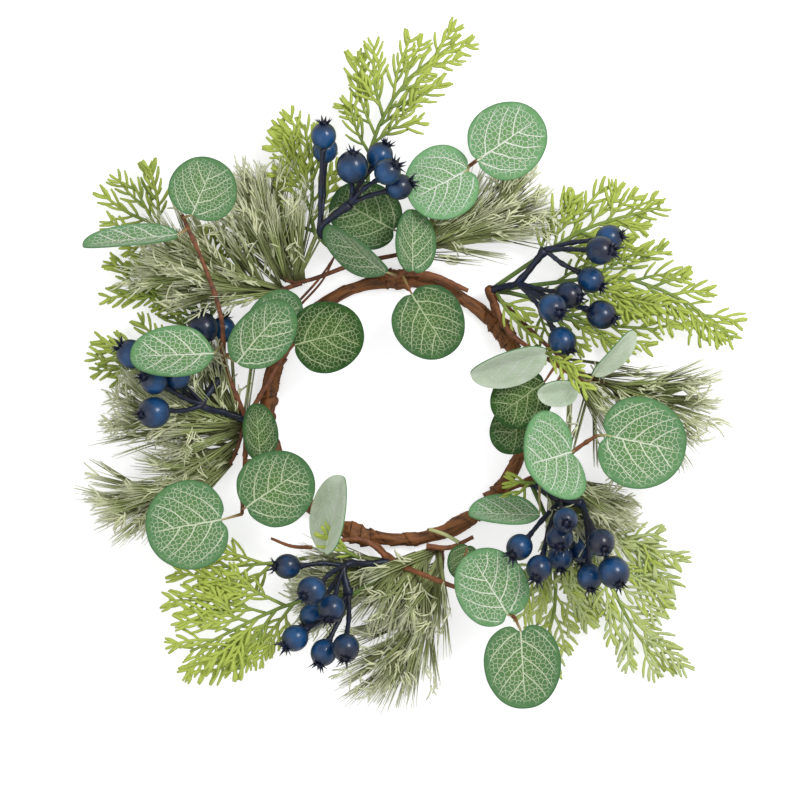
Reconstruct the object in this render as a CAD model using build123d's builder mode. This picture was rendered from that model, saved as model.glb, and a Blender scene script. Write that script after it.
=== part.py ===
from build123d import *
import os
from math import atan2, cos, degrees, radians, sin, tan

# Candle ring of artificial greenery, lying flat, seen from above along -Z.
# A wire hoop is wrapped in brown paper tape and five like picks are bound to it.
# Each pick carries navy berries, eucalyptus, pine and cedar on its own stem.
# The origin is the middle of the candle opening, on the table, with +Z up.

os.makedirs("parts", exist_ok=True)

# Ring
ring_radius = 52.0
ring_wire_radius = 1.4
tape_wall = 1.3
base_cut = 0.5
wrap_gap = 0.1
seat_gap = 0.3

# Picks bound to the ring
stem_radius = 0.9
binding_wall = 0.6
knob_radius = 3.0

# Berries
berry_radius = 5.2
crown_radius = 1.4
crown_height = 1.9
stalk_radius = 0.9

# Eucalyptus
leaf_length = 34.0
leaf_thickness = 0.8
twig_radius = 1.1
petiole_radius = 0.8
leaf_fold_angle = 12

# Pine
needle_length = 24.0
needle_radius = 0.42
needle_pitch = 3.1
pine_twig_radius = 1.0
needle_lean_angle = 32
needle_row_angles = (4, 62, 118, 176)

# Cedar
frond_pitch = 9.4
frond_length = 13.5
frond_thickness = 1.1
cedar_stem_radius = 0.8
frond_lean_angle = 38

# Faces along the ring and around the round pieces
ring_faces = 40
ring_sides = 8
wire_sides = 6
thin_sides = 4
berry_sides = 7
crown_sides = 5
needle_sides = 3

# Shapes of the small pieces
polar_flat_angle = 20
berry_stalk_share = 0.75
petiole_end_share = 0.16

# Half outline of a leaf, from its notch round the lobe to its tip, in shares of the
# leaf length along and half the leaf width across
leaf_outline_shares = (
    (0.05, 0.0),
    (-0.06, 0.24),
    (-0.05, 0.54),
    (0.09, 0.84),
    (0.34, 1.0),
    (0.62, 0.95),
    (0.85, 0.70),
    (0.97, 0.36),
    (1.0, 0.0),
)
fold_reach_share = 1.3

# Outline of a cedar frond with its side finger, in shares of the frond length
frond_outline_shares = (
    (0.0, 0.06),
    (1.0, 0.04),
    (0.63, -0.07),
    (0.92, -0.36),
    (0.48, -0.24),
    (0.0, -0.06),
)

tape_radius = ring_wire_radius + wrap_gap + tape_wall
ring_height = tape_radius - base_cut
stem_offset = tape_radius + wrap_gap + stem_radius

# Where the stem of a pick lies on the ring, counted back from its knob
stem_lead_angle = 27
stem_bound_faces = 2
binding_margin_share = 0.2
stem_side_angle = 45

pick_names = ("top", "right", "lower_right", "bottom", "left")

# Places are shares of the ring radius from the middle of the opening
knob_shares = {
    "top": (-0.29, 1.14, 0.17),
    "right": (0.71, 0.92, 0.17),
    "lower_right": (1.02, -0.55, 0.17),
    "bottom": (-0.05, -1.17, 0.17),
    "left": (-1.17, -0.08, 0.17),
}

# Forks of the berry stalks, one after another from the knob
fork_shares = {
    "top": ((-0.60, 1.38, 0.46), (-0.37, 1.58, 0.56)),
    "right": ((0.92, 0.98, 0.34), (1.13, 1.23, 0.44)),
    "lower_right": ((1.25, -0.70, 0.30), (1.42, -0.72, 0.38)),
    "bottom": ((-0.41, -1.20, 0.36), (-0.38, -1.42, 0.40)),
    "left": ((-1.50, 0.04, 0.34), (-1.38, 0.24, 0.28)),
}

# Each berry: place of its middle, share of the berry radius, number of its fork
berry_shares = {
    "top": (
        (-0.57, 2.10, 0.65, 0.92, 0),
        (-0.56, 2.00, 0.42, 0.92, 0),
        (-0.35, 1.86, 0.70, 1.15, 1),
        (-0.14, 1.95, 0.58, 0.95, 1),
        (-0.08, 1.82, 0.82, 0.95, 1),
        (0.01, 1.71, 0.63, 0.95, 1),
    ),
    "right": (
        (1.62, 1.32, 0.60, 0.95, 1),
        (1.55, 1.22, 0.79, 1.05, 1),
        (1.48, 1.00, 0.50, 0.95, 1),
        (1.31, 0.88, 0.62, 1.00, 0),
        (1.18, 0.78, 0.79, 1.05, 0),
        (1.56, 0.73, 0.62, 1.05, 0),
        (1.26, 0.53, 0.55, 1.00, 0),
    ),
    "lower_right": (
        (0.93, -1.05, 0.66, 0.95, 0),
        (1.28, -0.84, 0.82, 0.92, 0),
        (1.24, -0.98, 0.66, 1.00, 0),
        (1.25, -1.13, 0.44, 0.95, 0),
        (1.08, -1.21, 0.72, 0.95, 0),
        (1.55, -1.01, 0.86, 1.00, 1),
        (1.42, -1.08, 0.36, 0.92, 1),
        (1.47, -1.28, 0.58, 0.95, 1),
        (1.65, -1.24, 0.80, 1.15, 1),
    ),
    "bottom": (
        (-0.85, -1.20, 0.50, 0.92, 0),
        (-0.66, -1.38, 0.72, 1.05, 0),
        (-0.51, -1.52, 0.60, 1.00, 0),
        (-0.66, -1.58, 0.40, 0.92, 0),
        (-0.79, -1.75, 0.55, 0.95, 1),
        (-0.57, -1.86, 0.55, 0.95, 1),
        (-0.40, -1.82, 0.72, 1.00, 1),
    ),
    "left": (
        (-2.05, 0.43, 0.42, 1.05, 0),
        (-1.87, -0.02, 0.62, 1.15, 0),
        (-1.70, 0.26, 0.50, 1.00, 0),
        (-1.87, 0.22, 0.64, 0.95, 0),
        (-1.50, 0.63, 0.34, 1.10, 1),
        (-1.35, 0.62, 0.16, 0.92, 1),
    ),
}

# Routes of the eucalyptus twigs, after the knob
twig_shares = {
    "top": (
        ((0.02, 1.04, 0.36), (0.18, 1.45, 0.36), (0.46, 1.80, 0.40), (0.62, 1.93, 0.42)),
    ),
    "right": (
        ((0.86, 0.60, 0.36), (1.20, 0.36, 0.40), (1.45, 0.20, 0.44)),
    ),
    "lower_right": (
        ((1.22, -0.42, 0.34), (1.40, -0.28, 0.40), (1.52, -0.20, 0.44)),
    ),
    "bottom": (
        ((0.38, -1.34, 0.36), (0.72, -1.46, 0.38), (0.90, -1.60, 0.40)),
        ((-0.27, -1.00, 0.26), (-0.54, -1.02, 0.32)),
    ),
    "left": (
        ((-1.33, 0.35, 0.36), (-1.36, 0.72, 0.44), (-1.50, 1.14, 0.46), (-1.66, 1.50, 0.50)),
        ((-1.18, -0.45, 0.30), (-1.20, -0.80, 0.34)),
        ((-1.00, 0.22, 0.28), (-0.88, 0.42, 0.34)),
    ),
}

# Each leaf: number of its twig, place of its root, heading, pitch and roll in degrees,
# share of the leaf length, share of its width
leaf_shares = {
    "top": (
        (0, (-0.02, 1.38, 0.32), 152, 0, 2, 0.84, 0.92),
        (0, (-0.09, 1.05, 0.54), 143, 4, -66, 0.90, 0.92),
        (0, (0.11, 1.06, 0.50), 90, -6, 44, 0.74, 0.88),
        (0, (0.55, 1.85, 0.47), 208, 3, 6, 0.80, 1.10),
        (0, (0.60, 1.91, 0.58), 34, 6, 4, 0.92, 0.98),
        (0, (0.10, 0.90, 0.44), -58, 6, 4, 0.86, 0.98),
    ),
    "right": (
        (0, (1.13, 0.44, 0.76), 196, 4, -62, 0.92, 0.92),
        (0, (1.13, 0.22, 0.41), 216, 0, 0, 0.72, 0.96),
        (0, (1.12, 0.04, 0.29), 222, 0, 18, 0.76, 0.84),
        (0, (1.50, 0.26, 0.52), 49, 12, 70, 0.72, 0.92),
        (0, (1.38, 0.16, 0.62), 186, 0, -46, 0.48, 0.92),
    ),
    "lower_right": (
        (0, (1.34, -0.32, 0.46), 196, 46, 6, 0.98, 1.12),
        (0, (1.58, -0.19, 0.52), -12, 6, 4, 0.98, 1.10),
        (0, (1.09, -0.81, 0.46), 178, 0, 62, 0.78, 0.86),
    ),
    "bottom": (
        (0, (0.54, -1.04, 0.34), 255, 4, 20, 0.42, 0.92),
        (0, (0.85, -1.58, 0.54), 122, 6, 4, 0.88, 0.96),
        (0, (0.94, -1.68, 0.46), -86, 4, 4, 0.94, 0.96),
        (1, (-0.56, -1.10, 0.48), 77, 6, -62, 0.94, 0.92),
    ),
    "left": (
        (0, (-1.58, 1.49, 0.62), 67, 6, 6, 0.72, 1.12),
        (0, (-1.69, 1.34, 0.60), 186, 2, 68, 1.12, 0.62),
        (0, (-1.41, 0.43, 0.66), 182, 2, 40, 0.98, 0.80),
        (0, (-1.24, 0.36, 0.58), 50, 8, 34, 0.94, 0.84),
        (0, (-1.08, 0.46, 0.33), 58, 2, -14, 0.80, 0.80),
        (1, (-1.34, -0.84, 0.46), 190, 4, 4, 0.92, 1.14),
        (1, (-1.17, -0.75, 0.50), 34, 6, 8, 0.90, 1.00),
        (1, (-1.06, -0.38, 0.36), 95, 0, 40, 0.66, 0.80),
        (2, (-0.80, 0.50, 0.48), 14, 4, 4, 0.84, 1.00),
    ),
}

# Routes of the pine twigs after the knob, or from the foot of a twig beside another;
# the last run of each carries the needles
pine_shares = {
    "top": (
        ((-0.86, 1.00, 0.14), (-1.00, 1.48, 0.14)),
        ((-0.74, 0.98, 0.15), (-0.98, 0.92, 0.15), (-1.62, 1.10, 0.16)),
        ((0.24, 1.26, 0.14), (0.78, 1.50, 0.16)),
    ),
    "right": (
        ((1.40, 0.30, 0.14), (2.06, 0.04, 0.18)),
    ),
    "lower_right": (
        ((1.26, -0.50, 0.12), (1.48, -0.68, 0.12)),
    ),
    "bottom": (
        ((0.34, -1.10, 0.11), (0.12, -1.84, 0.13)),
        ((-0.12, -1.32, 0.10), (-0.42, -1.38, 0.10)),
    ),
    "left": (
        ((-1.40, -0.18, 0.13), (-1.82, -0.06, 0.14)),
        ((-1.34, -0.46, 0.12), (-1.94, -0.74, 0.12)),
    ),
}

# Routes of the cedar sprigs after the knob; fronds grow from the given run on
cedar_shares = {
    "top": (
        (2, ((-0.22, 1.50, 0.22), (-0.22, 1.98, 0.30), (0.04, 2.50, 0.38), (0.44, 2.82, 0.42))),
        (1, ((-0.64, 1.36, 0.18), (-0.66, 1.78, 0.22), (-0.72, 2.20, 0.24))),
    ),
    "right": (
        (1, ((1.06, 1.16, 0.24), (1.46, 1.40, 0.26), (2.02, 1.56, 0.32))),
        (1, ((1.20, 0.98, 0.18), (1.72, 1.02, 0.20), (2.24, 0.82, 0.24), (2.58, 0.54, 0.28))),
        (1, ((0.98, 0.88, 0.12), (1.30, 0.70, 0.12), (2.00, 0.62, 0.12))),
    ),
    "lower_right": (
        (1, ((1.30, -0.80, 0.07), (1.56, -1.18, 0.08), (1.80, -1.66, 0.12), (2.06, -2.02, 0.16))),
        (1, ((1.18, -0.96, 0.07), (1.20, -1.60, 0.10), (1.00, -2.02, 0.14))),
    ),
    "bottom": (
        (2, ((-0.30, -1.40, 0.30), (-0.80, -1.48, 0.36), (-1.60, -1.86, 0.38))),
        (2, ((-0.46, -1.12, 0.10), (-0.98, -1.18, 0.18), (-1.50, -1.22, 0.20))),
    ),
    "left": (
        (1, ((-1.44, 0.50, 0.09), (-1.60, 0.84, 0.07), (-2.16, 0.98, 0.10))),
        (1, ((-1.50, 0.14, 0.10), (-1.84, 0.34, 0.08), (-2.34, 0.40, 0.12))),
        (4, ((-1.28, 0.02, 0.04), (-1.54, 0.40, 0.04), (-1.62, 1.00, 0.04), (-1.84, 1.36, 0.07), (-2.04, 1.74, 0.13))),
    ),
}


def place(shares):
    """Point of the model for a place given in shares of the ring radius."""
    return Vector(*(ring_radius * share for share in shares))


def knob_of(pick):
    return place(knob_shares[pick])


def azimuth_of(point):
    return Vector(1, 0, 0).get_signed_angle(Vector(point.X, point.Y, 0), Vector(0, 0, 1))


def ring_corner(number):
    """Corner of the many-sided line in the middle of the ring's wire."""
    turn = radians(360 / ring_faces * number)
    return Vector(ring_radius * cos(turn), ring_radius * sin(turn), ring_height)


def outward_at(number):
    """Level direction away from the opening, square to the run after a corner."""
    turn = radians(360 / ring_faces * (number + 1 / 2))
    return Vector(cos(turn), sin(turn), 0)


def section_plane(point, number):
    """Upright plane across a run of the ring: local X outward, local Y up."""
    outward = outward_at(number)
    return Plane(origin=point, x_dir=outward, z_dir=outward.cross(Vector(0, 0, 1)))


def first_bound_corner(pick):
    return round((azimuth_of(knob_of(pick)) - stem_lead_angle) * ring_faces / 360)


def step_from(start, target, distance):
    """Point at a distance from the start on the way to the target."""
    return start + (target - start).normalized() * distance


def rod(start, end, radius, sides):
    """Straight many-sided rod between two points."""
    with BuildPart() as piece:
        with BuildSketch(Plane(origin=start, z_dir=end - start)):
            RegularPolygon(radius, side_count=sides)
        extrude(amount=(end - start).length)
    return piece.part


def route_through(points):
    """Straight runs between the points."""
    with BuildLine() as route:
        Polyline(*points)
    return route.line


def bent_rod(route, radius, sides):
    """Many-sided rod along a route, mitred at its corners."""
    with BuildPart() as piece:
        with BuildSketch(Plane(origin=route @ 0, z_dir=route % 0)):
            RegularPolygon(radius, side_count=sides)
        sweep(path=route, transition=Transition.RIGHT)
    return piece.part


def faceted_ball(radius):
    """Ball of flat bands, with a small flat at each pole."""
    flat_share = cos(radians(180 / berry_sides))
    shoulder_angle = (90 + polar_flat_angle) / 2
    with BuildPart() as ball:
        for low_angle, high_angle in ((90, shoulder_angle), (shoulder_angle, polar_flat_angle)):
            low = radius * cos(radians(low_angle))
            rise = radius * cos(radians(high_angle)) - low
            low_radius = radius * sin(radians(low_angle))
            narrowing = (low_radius - radius * sin(radians(high_angle))) * flat_share
            with BuildSketch(Plane.XY.offset(low)):
                RegularPolygon(low_radius, side_count=berry_sides)
            extrude(amount=rise, taper=degrees(atan2(narrowing, rise)))
        mirror(about=Plane.XY)
    return ball.part


def save(piece, name):
    piece.label = name
    export_step(piece, f"parts/{name}.step")


def save_group(pieces, name):
    """Pieces of one node; those that meet become one solid."""
    with BuildPart() as group:
        add(pieces)
    save(group.part, name)


def build_ring():
    corners = [ring_corner(number + 1) for number in range(ring_faces)]
    seam = (corners[0] + corners[-1]) / 2
    route = route_through([seam, *corners, seam])
    seat = section_plane(seam, 0)
    with BuildPart() as ring_wire:
        with BuildSketch(seat):
            RegularPolygon(ring_wire_radius, side_count=wire_sides)
        sweep(path=route, transition=Transition.RIGHT)
    save(ring_wire.part, "ring_wire")

    with BuildPart() as ring_tape:
        with BuildSketch(seat):
            RegularPolygon(tape_radius, side_count=ring_sides)
            RegularPolygon(ring_wire_radius + wrap_gap, side_count=wire_sides, mode=Mode.SUBTRACT)
        sweep(path=route, transition=Transition.RIGHT)
        split(bisect_by=Plane.XY, keep=Keep.TOP)
    save(ring_tape.part, "ring_tape")


def beside_ring(distance):
    """Offset in the section of the ring, towards the bound stem."""
    side = radians(stem_side_angle)
    return (distance * cos(side), distance * sin(side))


def build_pick_stem(pick):
    knob = knob_of(pick)
    first = first_bound_corner(pick)
    last = first + stem_bound_faces
    route = route_through([ring_corner(number) for number in range(first, last + 1)])
    across, up = beside_ring(stem_offset)
    release = ring_corner(last) + outward_at(last - 1) * across + Vector(0, 0, up)
    with BuildPart() as stem:
        with BuildSketch(section_plane(route @ 0, first)):
            with Locations((across, up)):
                RegularPolygon(stem_radius, side_count=wire_sides)
        sweep(path=route, transition=Transition.RIGHT)
        add(rod(release, knob, stem_radius, wire_sides))
        add(Pos(*knob) * faceted_ball(knob_radius))
    save(stem.part, f"pick_stem_{pick}")


def build_binding(pick):
    """Tape wound round the ring and the stem that lies on it."""
    first = first_bound_corner(pick)
    corners = [ring_corner(first + step) for step in range(stem_bound_faces + 1)]
    corners[0] += (corners[1] - corners[0]) * binding_margin_share
    corners[-1] += (corners[-2] - corners[-1]) * binding_margin_share
    route = route_through(corners)
    with BuildPart() as binding:
        with BuildSketch(section_plane(route @ 0, first)):
            with Locations(beside_ring(stem_radius)):
                RegularPolygon(tape_radius + stem_radius + binding_wall, side_count=ring_sides)
            RegularPolygon(tape_radius + wrap_gap, side_count=ring_sides, mode=Mode.SUBTRACT)
            with Locations(beside_ring(stem_offset)):
                RegularPolygon(stem_radius + wrap_gap, side_count=wire_sides, mode=Mode.SUBTRACT)
        sweep(path=route, transition=Transition.RIGHT)
        split(bisect_by=Plane.XY, keep=Keep.TOP)
    save(binding.part, f"binding_{pick}")


def build_berries(pick):
    knob = knob_of(pick)
    forks = [place(shares) for shares in fork_shares[pick]]
    first = step_from(knob, forks[0], knob_radius + seat_gap)
    stalk_pieces = [rod(first, forks[0], stalk_radius, wire_sides)]
    stalk_pieces.append(rod(forks[0], forks[1], stalk_radius, wire_sides))
    berry_pieces = []
    crown_pieces = []
    for x, y, z, size_share, fork in berry_shares[pick]:
        middle = place((x, y, z))
        radius = berry_radius * size_share
        axis = (middle - forks[fork]).normalized()
        end = middle - axis * (radius + seat_gap)
        stalk_pieces.append(rod(forks[fork], end, stalk_radius * berry_stalk_share, thin_sides))
        seat = Plane(origin=middle, z_dir=axis)
        berry_pieces.append(seat.location * faceted_ball(radius))
        pole = middle + axis * radius * cos(radians(polar_flat_angle))
        crown_pieces.append(berry_crown(Plane(origin=pole, z_dir=axis)))
    save_group(stalk_pieces, f"berry_stalks_{pick}")
    save_group(berry_pieces, f"berries_{pick}")
    save_group(crown_pieces, f"berry_crowns_{pick}")


def berry_crown(seat):
    with BuildPart() as crown:
        with BuildSketch(seat):
            RegularPolygon(crown_radius, side_count=crown_sides)
        extrude(amount=crown_height)
    return crown.part


def leaf_blade(size_share, width_share):
    """Leaf blade folded a little along its midrib, with its root at the origin."""
    length = leaf_length * size_share
    half = length * width_share / 2
    edge = [(length * along, half * across) for along, across in leaf_outline_shares]
    droop = tan(radians(leaf_fold_angle)) * half
    with BuildPart() as blade:
        with BuildSketch(Plane.YZ.offset(-leaf_length)):
            with BuildLine():
                Polyline(
                    (0, 0),
                    (half * fold_reach_share, droop * fold_reach_share),
                    (half * fold_reach_share, droop * fold_reach_share + leaf_thickness),
                    (0, leaf_thickness),
                    close=True,
                )
            make_face()
            mirror(about=Plane.YZ)
        extrude(amount=leaf_length * 3)
        with BuildSketch(Plane.XY.offset(-leaf_length)):
            with BuildLine():
                Polyline(*edge)
                mirror(about=Plane.XZ)
            make_face()
        extrude(amount=leaf_length * 3, mode=Mode.INTERSECT)
    return blade.part


def build_eucalyptus(pick):
    knob = knob_of(pick)
    twig_pieces = []
    routes = []
    for shares in twig_shares[pick]:
        points = [place(share) for share in shares]
        points.insert(0, step_from(knob, points[0], knob_radius + seat_gap))
        routes.append(route_through(points))
        twig_pieces.append(bent_rod(routes[-1], twig_radius, wire_sides))
    save_group(twig_pieces, f"eucalyptus_twig_{pick}")
    save_group([eucalyptus_leaf(routes, row) for row in leaf_shares[pick]], f"eucalyptus_leaves_{pick}")


def leaf_seat(root, heading, pitch, roll):
    """Plane of a leaf: X along the midrib, tilted up by the pitch, rolled about X."""
    level_side = Vector(-sin(heading), cos(heading), 0)
    along = Vector(cos(heading) * cos(pitch), sin(heading) * cos(pitch), sin(pitch))
    side = level_side * cos(roll) + along.cross(level_side) * sin(roll)
    return Plane(origin=root, x_dir=along, z_dir=along.cross(side))


def eucalyptus_leaf(routes, row):
    """One leaf with its petiole, which ends beside its twig."""
    twig, root_shares, heading, pitch, roll, size_share, width_share = row
    root = place(root_shares)
    seat = leaf_seat(root, radians(heading), radians(pitch), radians(roll))
    blade = seat.location * leaf_blade(size_share, width_share)
    foot = step_from(routes[twig].closest_points(Vertex(root))[0], root, twig_radius + seat_gap)
    tip = root + seat.x_dir * leaf_length * size_share * petiole_end_share
    petiole = [rod(foot, root, petiole_radius, thin_sides), rod(root, tip, petiole_radius, thin_sides)]
    with BuildPart() as leaf:
        add(blade)
        add(petiole)
    return leaf.part


def build_pine(pick):
    """Pine twigs of a pick, each with rows of needles; returns how many needles."""
    knob = knob_of(pick)
    needle_count = 0
    for number, shares in enumerate(pine_shares[pick], start=1):
        *foot, base, end = [place(share) for share in shares]
        foot = foot[0] if foot else step_from(knob, base, knob_radius + seat_gap)
        needle_planes = needle_seats(base, end)
        with BuildPart() as spray:
            add(rod(foot, base, pine_twig_radius, wire_sides))
            add(rod(base, end, pine_twig_radius, wire_sides))
            with BuildSketch(*needle_planes):
                RegularPolygon(needle_radius, side_count=needle_sides)
            extrude(amount=needle_length)
        save(spray.part, f"pine_spray_{pick}_{number}")
        needle_count += len(needle_planes)
    return needle_count


def needle_seats(base, end):
    """Planes at the roots of the needles; the needles of a row lie side by side."""
    along = (end - base).normalized()
    side = along.cross(Vector(0, 0, 1)).normalized()
    up = side.cross(along)
    lean = radians(needle_lean_angle)
    count = int((end - base).length / needle_pitch)
    seats = []
    for row, row_angle in enumerate(needle_row_angles):
        turn = radians(row_angle)
        across = side * cos(turn) + up * sin(turn)
        heading = along * cos(lean) + across * sin(lean)
        for step in range(count):
            root = base + along * needle_pitch * (step + row / len(needle_row_angles))
            seats.append(Plane(origin=root, z_dir=heading))
    return seats


def build_cedar(pick):
    """Flat cedar sprigs with fronds to both sides, each frond with a side finger."""
    knob = knob_of(pick)
    for number, (first_run, shares) in enumerate(cedar_shares[pick], start=1):
        points = [place(share) for share in shares]
        points.insert(0, step_from(knob, points[0], knob_radius + seat_gap))
        with BuildPart() as sprig:
            add(bent_rod(route_through(points), cedar_stem_radius, thin_sides))
            for start, end in zip(points[first_run:], points[first_run + 1:]):
                along = (end - start).normalized()
                side = along.cross(Vector(0, 0, 1)).normalized()
                for step in range(int((end - start).length / frond_pitch)):
                    root = start + along * frond_pitch * (step + 1 / 2)
                    add([frond(root, along, side), frond(root, along, -side)])
        save(sprig.part, f"cedar_sprig_{pick}_{number}")


def frond(root, along, side):
    """Flat frond that leans from the stem towards one side."""
    lean = radians(frond_lean_angle)
    heading = along * cos(lean) + side * sin(lean)
    face = along.cross(heading)
    outline = [(frond_length * run, frond_length * across) for run, across in frond_outline_shares]
    with BuildPart() as blade:
        with BuildSketch(Plane(origin=root, x_dir=heading, z_dir=face)):
            with BuildLine():
                Polyline(*outline, close=True)
            make_face()
        extrude(amount=frond_thickness / 2, both=True)
    return blade.part


build_ring()
needles = 0
for name in pick_names:
    build_pick_stem(name)
    build_binding(name)
    build_berries(name)
    build_eucalyptus(name)
    needles += build_pine(name)
    build_cedar(name)
print("needles", needles)
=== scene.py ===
import random
from collections import namedtuple
from math import atan2, cos, floor, pi, radians, sin, sqrt, tan, tau

import bmesh
import bpy
from mathutils import Matrix, Vector, noise


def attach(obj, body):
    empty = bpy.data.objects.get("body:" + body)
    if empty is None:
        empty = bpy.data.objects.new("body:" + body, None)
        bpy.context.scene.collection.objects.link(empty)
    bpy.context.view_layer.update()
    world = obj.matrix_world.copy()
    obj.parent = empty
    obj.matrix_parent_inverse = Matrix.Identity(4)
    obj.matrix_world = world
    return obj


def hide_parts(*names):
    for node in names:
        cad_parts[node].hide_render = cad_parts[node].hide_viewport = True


bl_info = {
    "name": "Candle ring of berries and greenery",
    "version": (1, 0, 0),
    "blender": (4, 5, 0),
    "location": "View3D > Sidebar > Candle Ring",
    "description": "Dresses a packed candle ring with berries, eucalyptus, pine and cedar",
    "category": "Object",
}

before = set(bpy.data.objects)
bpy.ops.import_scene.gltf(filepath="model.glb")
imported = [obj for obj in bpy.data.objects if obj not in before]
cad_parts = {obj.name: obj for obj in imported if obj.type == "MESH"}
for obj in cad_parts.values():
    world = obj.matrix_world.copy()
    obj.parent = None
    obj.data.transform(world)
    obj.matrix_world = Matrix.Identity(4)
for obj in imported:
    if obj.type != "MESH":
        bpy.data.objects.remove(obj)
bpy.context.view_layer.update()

UP = Vector((0, 0, 1))
PICKS = ("top", "right", "lower_right", "bottom", "left")


def tint(red, green, blue):
    """Linear colour of a screen colour given from 0 to 255."""
    shares = (red / 255, green / 255, blue / 255)
    return tuple(s / 12.92 if s <= 0.04045 else ((s + 0.055) / 1.055) ** 2.4 for s in shares)


def length_setting(name, default, description):
    return bpy.props.FloatProperty(
        name=name, default=default, description=description, subtype="DISTANCE", unit="LENGTH"
    )


def colour_setting(name, default, description):
    return bpy.props.FloatVectorProperty(
        name=name, default=tint(*default), description=description, subtype="COLOR", size=3, min=0, max=1
    )


class RingSettings(bpy.types.PropertyGroup):
    ring_radius: length_setting("Ring radius", 0.052, "From the middle of the opening to the wire")
    tape_radius: length_setting("Tape radius", 0.0028, "Outside radius of the wound tape")
    ring_height: length_setting("Ring height", 0.0023, "Height of the wire above the table")
    tape_pitch: length_setting("Tape pitch", 0.0115, "Distance between turns of the tape along the ring")
    binding_pitch: length_setting("Binding pitch", 0.0046, "Distance between turns of a binding")
    crinkle: length_setting("Crinkle", 0.00052, "Depth of the creases in the tape")
    stem_radius: length_setting("Stem radius", 0.0009, "Radius of the stem of a pick")
    binding_wall: length_setting("Binding wall", 0.0006, "Thickness of the tape that binds a stem")
    tape_colour: colour_setting("Tape colour", (146, 90, 44), "Paper tape where light falls on it")
    tape_shade: colour_setting("Tape shade", (78, 44, 18), "Paper tape in its creases")


class BerrySettings(bpy.types.PropertyGroup):
    berry_radius: length_setting("Berry radius", 0.0052, "Radius of a middling berry")
    crown_radius: length_setting("Crown radius", 0.0035, "Reach of the dry tips at the foot of a berry")
    stalk_radius: length_setting("Stalk radius", 0.0012, "Radius of the main stalk")
    berry_colour: colour_setting("Berry colour", (16, 76, 128), "Navy coat of the berries")
    berry_shade: colour_setting("Berry shade", (8, 28, 58), "Darker patches of the coat")
    stalk_colour: colour_setting("Stalk colour", (24, 38, 70), "Dark coat of the stalks and crowns")


class LeafSettings(bpy.types.PropertyGroup):
    leaf_length: length_setting("Leaf length", 0.034, "Length of the longest eucalyptus leaf")
    leaf_thickness: length_setting("Leaf thickness", 0.0005, "Thickness of the cloth")
    twig_radius: length_setting("Twig radius", 0.0010, "Radius of the eucalyptus twigs")
    petiole_radius: length_setting("Petiole radius", 0.00062, "Radius of the stalk of a leaf")
    leaf_dark: colour_setting("Dark leaf", (22, 68, 6), "Darkest leaves")
    leaf_light: colour_setting("Light leaf", (124, 178, 122), "Lightest leaves")
    vein_colour: colour_setting("Vein colour", (214, 228, 172), "Printed veins of a dark leaf")
    pale_vein_colour: colour_setting("Pale vein colour", (248, 252, 240), "Printed veins of a light leaf")
    leaf_back: colour_setting("Leaf back", (236, 248, 226), "Pale underside of the cloth")
    twig_colour: colour_setting("Twig colour", (150, 92, 56), "Rust brown twigs")


class PineSettings(bpy.types.PropertyGroup):
    needle_length: length_setting("Needle length", 0.025, "Length of a long needle")
    needle_radius: length_setting("Needle radius", 0.00034, "Radius of a needle near its foot")
    longest_needle: length_setting("Longest needle", 0.038, "Length of a needle near the twig's foot")
    pine_twig_radius: length_setting("Pine twig radius", 0.0009, "Radius of a twig near its foot")
    thread_radius: length_setting("Thread radius", 0.00042, "Radius of a frosted thread")
    bunches_per_twig: bpy.props.IntProperty(
        name="Bunches", default=62, description="Bunches of needles on each pine twig", min=2, max=120
    )
    needle_colour: colour_setting("Needle colour", (190, 202, 136), "Olive grey of the needles")
    needle_shade: colour_setting("Needle shade", (108, 108, 76), "Needles deep in the spray")
    frost_colour: colour_setting("Frost colour", (244, 246, 212), "Pale tips and threads")


class CedarSettings(bpy.types.PropertyGroup):
    frond_length: length_setting("Frond length", 0.0160, "Length of a side frond")
    frond_spacing: length_setting("Frond spacing", 0.0040, "Distance between fronds along a sprig")
    finger_spacing: length_setting("Finger spacing", 0.0022, "Distance between fingers along a frond")
    longest_finger: length_setting("Longest finger", 0.0098, "Shoots longer than this carry fingers")
    finger_radius: length_setting("Finger radius", 0.00070, "Half width of a finger of a frond")
    cedar_shade: colour_setting("Cedar shade", (104, 132, 62), "Older green near the stems")
    cedar_tip: colour_setting("Cedar tip", (190, 206, 92), "Bright yellow green tips")


class StageSettings(bpy.types.PropertyGroup):
    lens: bpy.props.FloatProperty(
        name="Lens", default=400, description="Focal length of the camera in millimetres", unit="CAMERA"
    )
    view_width: length_setting("View width", 0.32, "Width of the table that the picture takes in")
    key_power: bpy.props.FloatProperty(
        name="Key lamp", default=3.3, description="Power of the key lamp in watts", min=0, unit="POWER"
    )
    world_light: bpy.props.FloatProperty(
        name="Room light", default=0.62, description="Strength of the even light of the room", min=0
    )


# Colours that the finishes mix into those of the settings
BARE_PAPER = (0.66, 0.44, 0.24)
BERRY_CROWN_SHADE = (0.016, 0.014, 0.022)
BERRY_RIM_SHADE = (0.004, 0.006, 0.016)
STALK_SHADE = (0.012, 0.013, 0.024)
BARK_SHADE = (0.105, 0.036, 0.018)
PETIOLE_CREAM = tint(206, 212, 150)
PETIOLE_GREEN = tint(150, 176, 104)
LEAF_PATCH = tint(104, 150, 62)
LEAF_WARMTH = tint(110, 150, 34)
LEAF_WEAR = tint(124, 142, 92)
LEAF_RIM = tint(44, 84, 50)
BACK_PATCH = tint(184, 216, 164)
BACK_SHADE = tint(140, 182, 120)
BACK_VEIN = tint(250, 253, 244)
NEEDLE_PATCH = tint(146, 158, 80)
NEEDLE_FOOT = tint(66, 54, 44)
THREAD_SHADE = tint(228, 232, 182)
BLEACHED_CEDAR = tint(204, 216, 178)
WIRE_DARK = tint(120, 112, 100)
WIRE_LIGHT = tint(170, 164, 154)

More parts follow.
